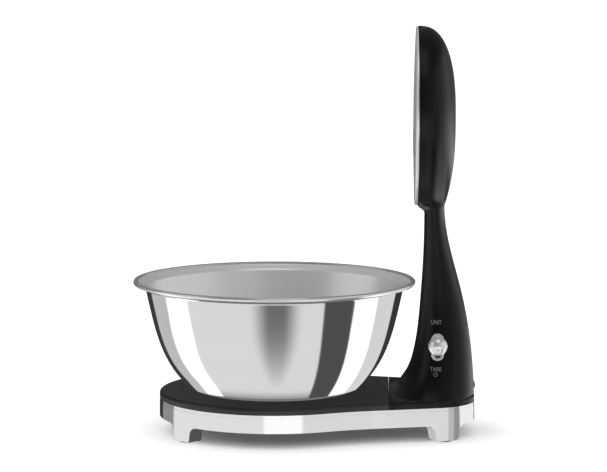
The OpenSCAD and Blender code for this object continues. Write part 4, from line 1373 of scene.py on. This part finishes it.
@dataclass
class LeverKnob:
    """Rocking lever with its ball knob and oval plate."""

    sizes: ScaleSizes
    finishes: Finishes
    place: LeverPlace
    knob_r: float = 7.5
    reach: float = 10.0
    stem_r: float = 2.0
    depth: float = 9.7
    pivot: Plan = (1.5, 10.0)
    plate: Plan = (9.9, 21.2)
    slot: Plan = (5.2, 15.0)
    slot_drop: float = 1.1

    def knob(self) -> None:
        """Turn the stem and ball in one, with the cross pin inside."""
        skin, here = Skin(self.sizes), self.place.matrix()
        out = here @ Matrix.Rotation(math.pi / 2, 4, "X")
        flat = math.acos((self.knob_r - 0.9) / self.knob_r)
        ball = [
            (self.knob_r * math.sin(t), self.reach - self.knob_r * math.cos(t))
            for t in np.linspace(flat, math.pi, 48)
        ]
        ball[-1] = (0.0, self.reach + self.knob_r)
        root = ball[0][1]
        neck = [(0, -self.depth), (self.stem_r, -self.depth), (self.stem_r, root - 0.5), (self.stem_r + 0.5, root)]
        skin.lathe(neck + ball, 96, out)
        cross = here @ Matrix.Translation((0, self.depth, 0)) @ Matrix.Rotation(math.pi / 2, 4, "Y")
        for radius, length in ((3.0, 5.0), self.pivot):
            skin.lathe([(0, -length / 2), (radius, -length / 2), (radius, length / 2), (0, length / 2)], 48, cross)
        finished(skin.build("lever_knob"), "lever", (self.finishes.knob,), ("lever",))

    def escutcheon(self) -> None:
        """Oval plate with an eased rim and the slot for the stem."""
        skin, here = Skin(self.sizes), self.place.matrix()
        (w, h), (sw, sh) = self.plate, self.slot
        rings = []
        for width, height, y, drop in (
            (w, h, 2.0, 0.0), (w, h, -0.5, 0.0), (w - 0.25, h - 0.25, -0.88, 0.0), (w - 0.8, h - 0.8, -1.1, 0.0),
            (sw + 1.4, sh + 1.4, -1.1, 1.0), (sw + 0.5, sh + 0.5, -0.95, 1.0), (sw, sh, -0.6, 1.0), (sw, sh, 2.0, 1.0),
        ):
            oval = stadium(width, height, 28)
            rings.append(skin.laid(here, [(x, y, z - drop * self.slot_drop) for x, z in oval]))
        skin.loft([*rings, rings[0]], caps=False)
        finished(skin.build("lever_escutcheon"), "base", (self.finishes.plate,), ("lever_plate",))

    def build(self) -> None:
        """Make knob and plate."""
        self.knob()
        self.escutcheon()


@dataclass(frozen=True)
class Word:
    """One printed word and its place on the column's side, in millimetres."""

    text: str
    x: float
    z: float
    width: float
    height: float


@dataclass
class Legends:
    """Words and the power sign printed beside the lever."""

    sizes: ScaleSizes
    finishes: Finishes
    form: ColumnForm
    lift: float = 0.04
    words: tuple[Word, ...] = (Word("UNIT", 128.0, 92.2, 8.1, 3.4), Word("TARE", 127.6, 56.3, 8.9, 3.0))
    sign: tuple[float, float, float] = (127.4, 52.4, 1.5)
    stroke: Plan = (-0.17, 0.17)

    def laid(self, x: float, z: float) -> Point:
        """A point just off the column's right side."""
        return (x, -self.form.side_surface(x, z) - self.lift, z)

    def letters(self, word: Word) -> tuple[list[Plan], list[tuple[int, ...]]]:
        """Outline of a word, filled and cut small enough to bend.

        Args:
            word: the word to set.

        Returns:
            Points about the word's middle and faces.
        """
        curve = bpy.data.curves.new("setting", "FONT")
        curve.body = word.text
        curve.resolution_u = 6
        holder = bpy.data.objects.new("setting", curve)
        bpy.context.scene.collection.objects.link(holder)
        bpy.context.view_layer.update()
        mesh = bpy.data.meshes.new_from_object(holder.evaluated_get(bpy.context.evaluated_depsgraph_get()))
        bpy.data.objects.remove(holder)
        work = bmesh.new()
        work.from_mesh(mesh)
        bmesh.ops.triangulate(work, faces=work.faces)
        bmesh.ops.subdivide_edges(work, edges=work.edges, cuts=2, use_grid_fill=True)
        work.verts.index_update()
        spots = np.array([v.co[:2] for v in work.verts])
        faces = [tuple(v.index for v in f.verts) for f in work.faces]
        work.free()
        low, high = spots.min(axis=0), spots.max(axis=0)
        spots = (spots - (low + high) / 2) / (high - low) * (word.width, word.height)
        return [tuple(p) for p in spots], faces

    def build(self) -> None:
        """Set the words, draw the sign and lay them on the column."""
        skin = Skin(self.sizes)
        for word in self.words:
            spots, faces = self.letters(word)
            start = len(skin.points)
            skin.ring([self.laid(word.x + x, word.z + z) for x, z in spots])
            for face in faces:
                skin.face([start + i for i in face])
        cx, cz, r = self.sign
        rows = [arc((cx, cz), r + s, -235, 55, 40) for s in self.stroke]
        strips = [skin.ring([self.laid(x, z) for x, z in row]) for row in rows]
        skin.bridge(*strips, closed=False)
        bar = [skin.ring([self.laid(cx + s, cz + r * t) for t in (0.15, 0.5, 0.85, 1.2)]) for s in self.stroke]
        skin.bridge(*bar, closed=False)
        legend = skin.build("lever_legends")
        self.outward(legend)
        finished(legend, "base", (self.finishes.print,))

    @staticmethod
    def outward(piece: bpy.types.Object) -> None:
        """Turn every face of the print away from the column."""
        work = bmesh.new()
        work.from_mesh(piece.data)
        bmesh.ops.reverse_faces(work, faces=[f for f in work.faces if f.normal.y > 0])
        work.to_mesh(piece.data)
        work.free()


@dataclass
class Bowl:
    """Spun steel bowl, polished outside and brushed inside, with a rolled rim."""

    sizes: ScaleSizes
    finishes: Finishes
    base_d: float = 122.0
    wall: float = 1.1
    rim_r: float = 1.8
    flange: float = 6.0
    low_corner: float = 3.1
    belly: float = 18.7
    belly_power: float = 4.15
    flare: float = 1.8
    under_rim: float = 4.2
    steps: int = 288
    rows: int = 44

    @property
    def tall(self) -> float:
        """Height of the bowl."""
        return self.sizes.bowl_top - self.sizes.top_z + 0.2

    def radius_at(self, h: float) -> float:
        """Outer radius of the wall at a height above the platform."""
        top = self.sizes.bowl_r - 2 * self.rim_r - self.flange + 0.7
        u = 1 - h / (self.tall - 4)
        return top - self.belly * u - (top - self.belly - self.base_d / 2 - 4) * max(0.0, u) ** self.belly_power

    def wall_line(self, thick: float) -> list[Plan]:
        """The wall's line, set inwards by a thickness."""
        line = []
        for i in range(self.rows + 1):
            h = self.low_corner + (self.tall - self.rim_r - self.under_rim - self.low_corner) * (i / self.rows) ** 1.25
            slope = (self.radius_at(h + 0.1) - self.radius_at(h - 0.1)) / 0.2
            q = math.hypot(1, slope)
            line.append((self.radius_at(h) - thick / q, h + thick * slope / q))
        return line

    def profile(self) -> tuple[list[Plan], list[int]]:
        """Closed line of the whole section and the finish of each stretch."""
        lip_r = self.sizes.bowl_r - 2 * self.rim_r
        lip_z = self.tall - self.rim_r
        half = self.base_d / 2
        turns = [math.radians(a) for a in (30, 60, 90)]
        outer = [(half - 2, 0), (half + 1, 0.45), *self.wall_line(0)]
        outer += [
            (lip_r - self.flare * math.cos(a) + 0.8, lip_z - self.wall - self.flare * (1 - math.sin(a))) for a in turns
        ]
        inner = [(half - 2, self.wall), (half, self.wall + 0.4), *self.wall_line(self.wall)]
        inner += [(lip_r - self.flare * math.cos(a) - 0.2, lip_z - self.flare * (1 - math.sin(a))) for a in turns]
        bead = arc((lip_r + self.rim_r, lip_z - 0.2), self.rim_r, 118, -215, 40)
        outer = [(0, 0), (half / 2, 0), *rounded(outer, 2)]
        inner = [(0, self.wall), (half / 2, self.wall), *rounded(inner, 2)]
        line = inner + bead + outer[::-1]
        dress = [1] * (len(inner) - 1) + [2] * len(bead)
        dress += [0] * (len(line) - 1 - len(dress))
        return line, dress

    def build(self) -> None:
        """Turn the bowl and dress its two sides."""
        skin = Skin(self.sizes)
        line, dress = self.profile()
        skin.lathe(line, self.steps, Matrix.Translation((0, 0, self.sizes.top_z)), dress)
        bowl = skin.build("steel_bowl", 50.0)
        sides = (self.finishes.polished, self.finishes.brushed, self.finishes.rim)
        finished(bowl, "bowl", sides, ("bowl",))


@dataclass
class InnerWorks:
    """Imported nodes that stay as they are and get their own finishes."""

    finishes: Finishes

    def table(self) -> dict[str, Finish]:
        """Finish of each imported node."""
        f = self.finishes
        groups = (
            (f.rubber, ("foot_pad_front_left", "foot_pad_front_right", "foot_pad_rear_left", "foot_pad_rear_right")),
            (f.tray, ("chassis_tray",)),
            (f.steel, ("ledge_screws", "column_screws", "cell_screws_fixed", "cell_screws_free", "carrier_screws",
                       "overload_stops", "board_screws")),
            (f.aluminium, ("load_cell",)),
            (f.carrier, ("platform_carrier",)),
            (f.holder, ("battery_holder",)),
            (f.wrap, ("battery_left", "battery_middle", "battery_right")),
            (f.contact, ("battery_contacts",)),
            (f.laminate, ("main_board", "display_board")),
            (f.display, ("display_module",)),
            (f.switch, ("lever_switch",)),
            (f.cable, ("load_cell_cable",)),
            (f.ribbon, ("display_ribbon",)),
            (f.lead, ("battery_leads",)),
        )
        return {node: finish for finish, nodes in groups for node in nodes}

    def build(self) -> None:
        """Put every finish on its node."""
        for node, finish in self.table().items():
            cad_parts[node].visible_glossy = False
            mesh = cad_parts[node].data
            material = finish.material()
            if not mesh.materials:
                mesh.materials.append(material)
            for i in range(len(mesh.materials)):
                mesh.materials[i] = material
            LOG.info("%s wears %s", node, finish.name)


# ---------------------------------------------------------------- studio


@dataclass(frozen=True)
class Card:
    """A soft light or dark panel of the studio, seen in polished metal.

    It is placed by the slope that shows it to a person in front of the scale:
    across is degrees round from the front to the right, and low and high are
    degrees that the slope leans up from level.
    """

    across: float
    half: float
    low: float
    high: float
    tone: float
    soft: float = 2.0
    corner: float = 0.5


@dataclass
class Studio:
    """Camera, pale floor and plain soft light."""

    sizes: ScaleSizes
    lens: float = 177.9
    eye: Point = (0.0572, -2.3610, 0.4360)
    heading: Plan = (-0.0244, 0.9997)
    dip: float = 6.767
    roll: float = 0.068
    ambient: float = 0.98
    floor_reach: float = 60000.0
    floor_core: float = 400.0
    floor_tone: float = 0.94
    painted_shadow_glow: float = 0.045
    open_glow: float = 0.5
    pale: float = 1.05
    crease: float = 0.17
    cards: tuple[Card, ...] = (
        Card(0, 200, 5, 32, 0.05, 5.0),
        Card(-39, 12, 4, 30, 0.75, 10.0, 4.0),
        Card(22, 13, 8, 30, 0.4, 12.0, 4.0),
        Card(52, 22, 3, 34, 0.8, 16.0, 6.0),
        Card(0, 200, 34, 76, 0.13, 8.0),
        Card(4, 11, 33, 50, 1.3, 7.0, 5.0),
        Card(0, 200, 80, 120, 0.03, 6.0),
        Card(-65, 10, -56, -9, 0.74),
        Card(-47.6, 8, -56, -10, 1.75, 1.2, 6.0),
        Card(32, 7.8, -56, -9.5, 0.11, 1.2, 2.0),
        Card(47.3, 7.8, -56, -10, 1.75, 1.2, 5.0),
        Card(63, 8.5, -56, -9, 0.98, 1.5),
        Card(-68, 9, -8.5, 4.5, 0.36, 4.0),
        Card(7, 10, -8.5, 4.5, 1.4, 3.0),
        Card(25, 9, -8.5, 4.5, 0.98, 3.0),
        Card(34, 4, -8.5, 4.5, 0.68, 4.0),
        Card(41, 4, -8.5, 4.5, 0.40, 3.0),
        Card(62, 17, -8.5, 4.5, 1.2, 2.0),
        Card(-90, 20, -80, -8, 0.06, 2.0),
        Card(-90, 17, -8, 32, 0.03, 2.0),
        Card(90, 19.5, -80, -8.5, 0.05, 2.0),
        Card(90, 16.5, 4.5, 32, 0.2, 2.0),
    )

    @property
    def ahead(self) -> Point:
        """The way the camera looks."""
        dip = math.radians(self.dip)
        return (self.heading[0] * math.cos(dip), self.heading[1] * math.cos(dip), -math.sin(dip))

    def camera(self) -> None:
        """Set up the camera."""
        data = bpy.data.cameras.new("view")
        data.lens = self.lens
        data.sensor_width = 36.0
        data.clip_end = 200.0
        camera = bpy.data.objects.new("view", data)
        bpy.context.scene.collection.objects.link(camera)
        ahead = Vector(self.ahead).normalized()
        right = ahead.cross(Vector((0, 0, 1))).normalized()
        above = right.cross(ahead)
        turn = Matrix((right, above, -ahead)).transposed().to_4x4()
        turn = turn @ Matrix.Rotation(math.radians(self.roll), 4, "Z")
        camera.matrix_world = Matrix.Translation(self.eye) @ turn
        bpy.context.scene.camera = camera

    def floor(self) -> None:
        """Lay a wide pale floor that keeps the shadow; its camera-only glow is held low near the base, which paints a
        darker shadow round it.
        """
        skin = Skin(self.sizes)
        lines = (-self.floor_reach, -self.floor_core, 0, self.floor_core, self.floor_reach)
        grid = [[(x, y, 0.0) for x in lines] for y in lines]
        rows = [skin.ring(row) for row in grid]
        for low, high in zip(rows, rows[1:]):
            skin.bridge(low, high, closed=False)
        floor = skin.build("floor")
        material = bpy.data.materials.new("pale_floor")
        material.use_nodes = True
        sheet = Sheet(material.node_tree)
        shader = material.node_tree.nodes["Principled BSDF"]
        place = sheet.add("ShaderNodeTexCoord").outputs["Object"]
        tone = sheet.span(sheet.noise(place, 3.0), 0.2, 0.8, self.floor_tone - 0.006, self.floor_tone + 0.006)
        grey = sheet.add("ShaderNodeCombineColor", None, Red=tone, Green=tone, Blue=tone).outputs[0]
        sheet.feed(shader.inputs["Base Color"], grey)
        shader.inputs["Roughness"].default_value = 0.9
        shader.inputs["Specular IOR Level"].default_value = 0.0
        # camera-only glow, weak within a few centimetres of the base and strong further out: a painted shadow round the
        # base
        clear = sheet.span(self.clearance(sheet, place), -0.045, 0.05, self.painted_shadow_glow, self.open_glow)
        seen = sheet.add("ShaderNodeLightPath").outputs["Is Camera Ray"]
        shader.inputs["Emission Color"].default_value = (1.0, 1.0, 1.0, 1.0)
        sheet.feed(shader.inputs["Emission Strength"], sheet.times(clear, seen))
        floor.data.materials.append(material)
        floor.visible_glossy = False
        floor.visible_transmission = False
        floor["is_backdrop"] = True

    def clearance(self, sheet: Sheet, place: bpy.types.NodeSocket) -> bpy.types.NodeSocket:
        """Distance on the floor from the base, in metres."""
        x, y, _ = sheet.parts(place)
        sizes = self.sizes
        nose = sheet.minus(x, sizes.axis_x)
        tail = (sizes.rear_x - 40.0) * MM
        along = sheet.minus(nose, sheet.sum("MINIMUM", sheet.sum("MAXIMUM", nose, 0.0), tail))
        reach = sheet.length(along, y)
        taper = sheet.span(nose, 0.0, tail, sizes.plan_r * MM, 0.058)
        return sheet.minus(reach, taper)

    def world(self) -> None:
        """Even light on matt surfaces, a white background, and cards for metal to show."""
        world = bpy.data.worlds.new("studio")
        world.use_nodes = True
        bpy.context.scene.world = world
        world.node_tree.nodes.clear()
        sheet = Sheet(world.node_tree)
        way = sheet.add("ShaderNodeTexCoord").outputs["Generated"]
        halfway = sheet.add("ShaderNodeVectorMath", {"operation": "SUBTRACT"})
        sheet.feed(halfway.inputs[0], way)
        halfway.inputs[1].default_value = self.ahead
        slope = sheet.add("ShaderNodeVectorMath", {"operation": "NORMALIZE"})
        sheet.feed(slope.inputs[0], halfway.outputs[0])
        x, y, z = sheet.parts(slope.outputs[0])
        turn = sheet.sum("ARCTAN2", x, sheet.times(y, -1.0))
        across = sheet.times(turn, 180 / math.pi)
        up = sheet.times(sheet.sum("ARCSINE", z), 180 / math.pi)
        down = sheet.sum("DIVIDE", sheet.minus(-12.5, up), 27.5, held=True)
        drawn = sheet.times(sheet.times(down, down), sheet.sum("MINIMUM", across, 0.0))
        across = sheet.sum("MULTIPLY_ADD", drawn, 0.14, across)
        tone = sheet.span(up, -52, -40, 0.25, self.pale)
        tone = self._crease(sheet, across, up, down, tone)
        for card in self.cards:
            tone = sheet.lerp(self._mask(sheet, card, across, up), tone, card.tone)
        rays = sheet.add("ShaderNodeLightPath").outputs
        shiny = sheet.sum("MAXIMUM", rays["Is Glossy Ray"], rays["Is Transmission Ray"])
        seen = sheet.lerp(shiny, self.ambient, tone)
        seen = sheet.lerp(rays["Is Camera Ray"], seen, 1.0)
        back = sheet.add("ShaderNodeBackground", None, Strength=seen)
        out = sheet.add("ShaderNodeOutputWorld")
        sheet.feed(out.inputs["Surface"], back.outputs[0])
        world.cycles.sampling_method = "NONE"

    def _crease(self, sheet: Sheet, across: object, up: object, down: object, tone: object) -> bpy.types.NodeSocket:
        """Soft dark wedge in the middle of the bowl's front, which fades downwards.

        Args:
            sheet: the world's nodes.
            across: degrees round from the front.
            up: degrees that the slope leans up.
            down: share of the way down the bowl, from 0 to 1.
            tone: light without the wedge.

        Returns:
            Light with it.
        """
        away = sheet.sum("ABSOLUTE", sheet.minus(across, 2.5))
        deep = sheet.sum("MULTIPLY_ADD", sheet.sum("POWER", down, 0.75), self.pale - self.crease, self.crease)
        away = sheet.sum("DIVIDE", away, sheet.sum("MULTIPLY_ADD", down, -0.7, 1.0))
        held = sheet.times(sheet.span(away, 13.5, 2.5), sheet.span(up, -9.0, -10.5))
        held = sheet.times(held, sheet.span(up, -44.0, -38.0))
        return sheet.lerp(held, tone, deep)

    @staticmethod
    def _mask(sheet: Sheet, card: Card, across: object, up: object) -> bpy.types.NodeSocket:
        """Where a card covers the studio, as a rectangle with round corners."""
        middle, tall = (card.low + card.high) / 2, (card.high - card.low) / 2
        past = []
        for at, mid, half in ((across, card.across, card.half), (up, middle, tall)):
            away = sheet.sum("ABSOLUTE", sheet.minus(at, mid))
            past.append(sheet.sum("MAXIMUM", sheet.plus(away, card.corner - half), 0.0))
        out = sheet.length(*past)
        return sheet.span(out, card.corner + card.soft / 2, max(0.0, card.corner - card.soft / 2))

    def lamp(self) -> None:
        """One wide lamp overhead for a little direction."""
        data = bpy.data.lights.new("overhead", "AREA")
        data.shape = "RECTANGLE"
        data.size, data.size_y = 2.4, 1.6
        data.energy = 6.0
        lamp = bpy.data.objects.new("overhead", data)
        bpy.context.scene.collection.objects.link(lamp)
        lamp.location = (-0.5, -0.9, 2.1)
        lamp.rotation_euler = (Vector((0, 0, 0.1)) - lamp.location).to_track_quat("-Z", "Y").to_euler()
        lamp.visible_glossy = False

    def build(self) -> None:
        """Set up camera, floor and light."""
        self.camera()
        self.floor()
        self.world()
        self.lamp()
        bpy.context.scene.view_settings.view_transform = "Standard"
        LOG.info("studio ready")


def write_sizes() -> None:
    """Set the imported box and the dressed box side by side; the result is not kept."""
    boxes = {"packed": PACKED_BOUNDS, "dressed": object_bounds()}
    {name: [list(corner) for corner in box] for name, box in boxes.items()}


def main() -> None:
    """Build the studio and every sub-assembly in order."""
    logging.basicConfig(level=logging.INFO, format="%(name)s: %(message)s")
    sizes = ScaleSizes.measured()
    Studio(sizes).build()
    finishes = Finishes(sizes)
    outline = BaseOutline(sizes)
    form = ColumnForm(sizes)
    place = LeverPlace(sizes, form)
    BaseCasting(sizes, finishes).build()
    Platform(sizes, finishes, outline).build()
    ColumnShell(sizes, finishes, outline, form, place).build()
    BatteryDoor(sizes, finishes, form).build()
    DialHead(sizes, finishes).build()
    LeverKnob(sizes, finishes, place).build()
    Legends(sizes, finishes, form).build()
    Bowl(sizes, finishes).build()
    InnerWorks(finishes).build()
    write_sizes()


if __name__ == "__main__":
    main()
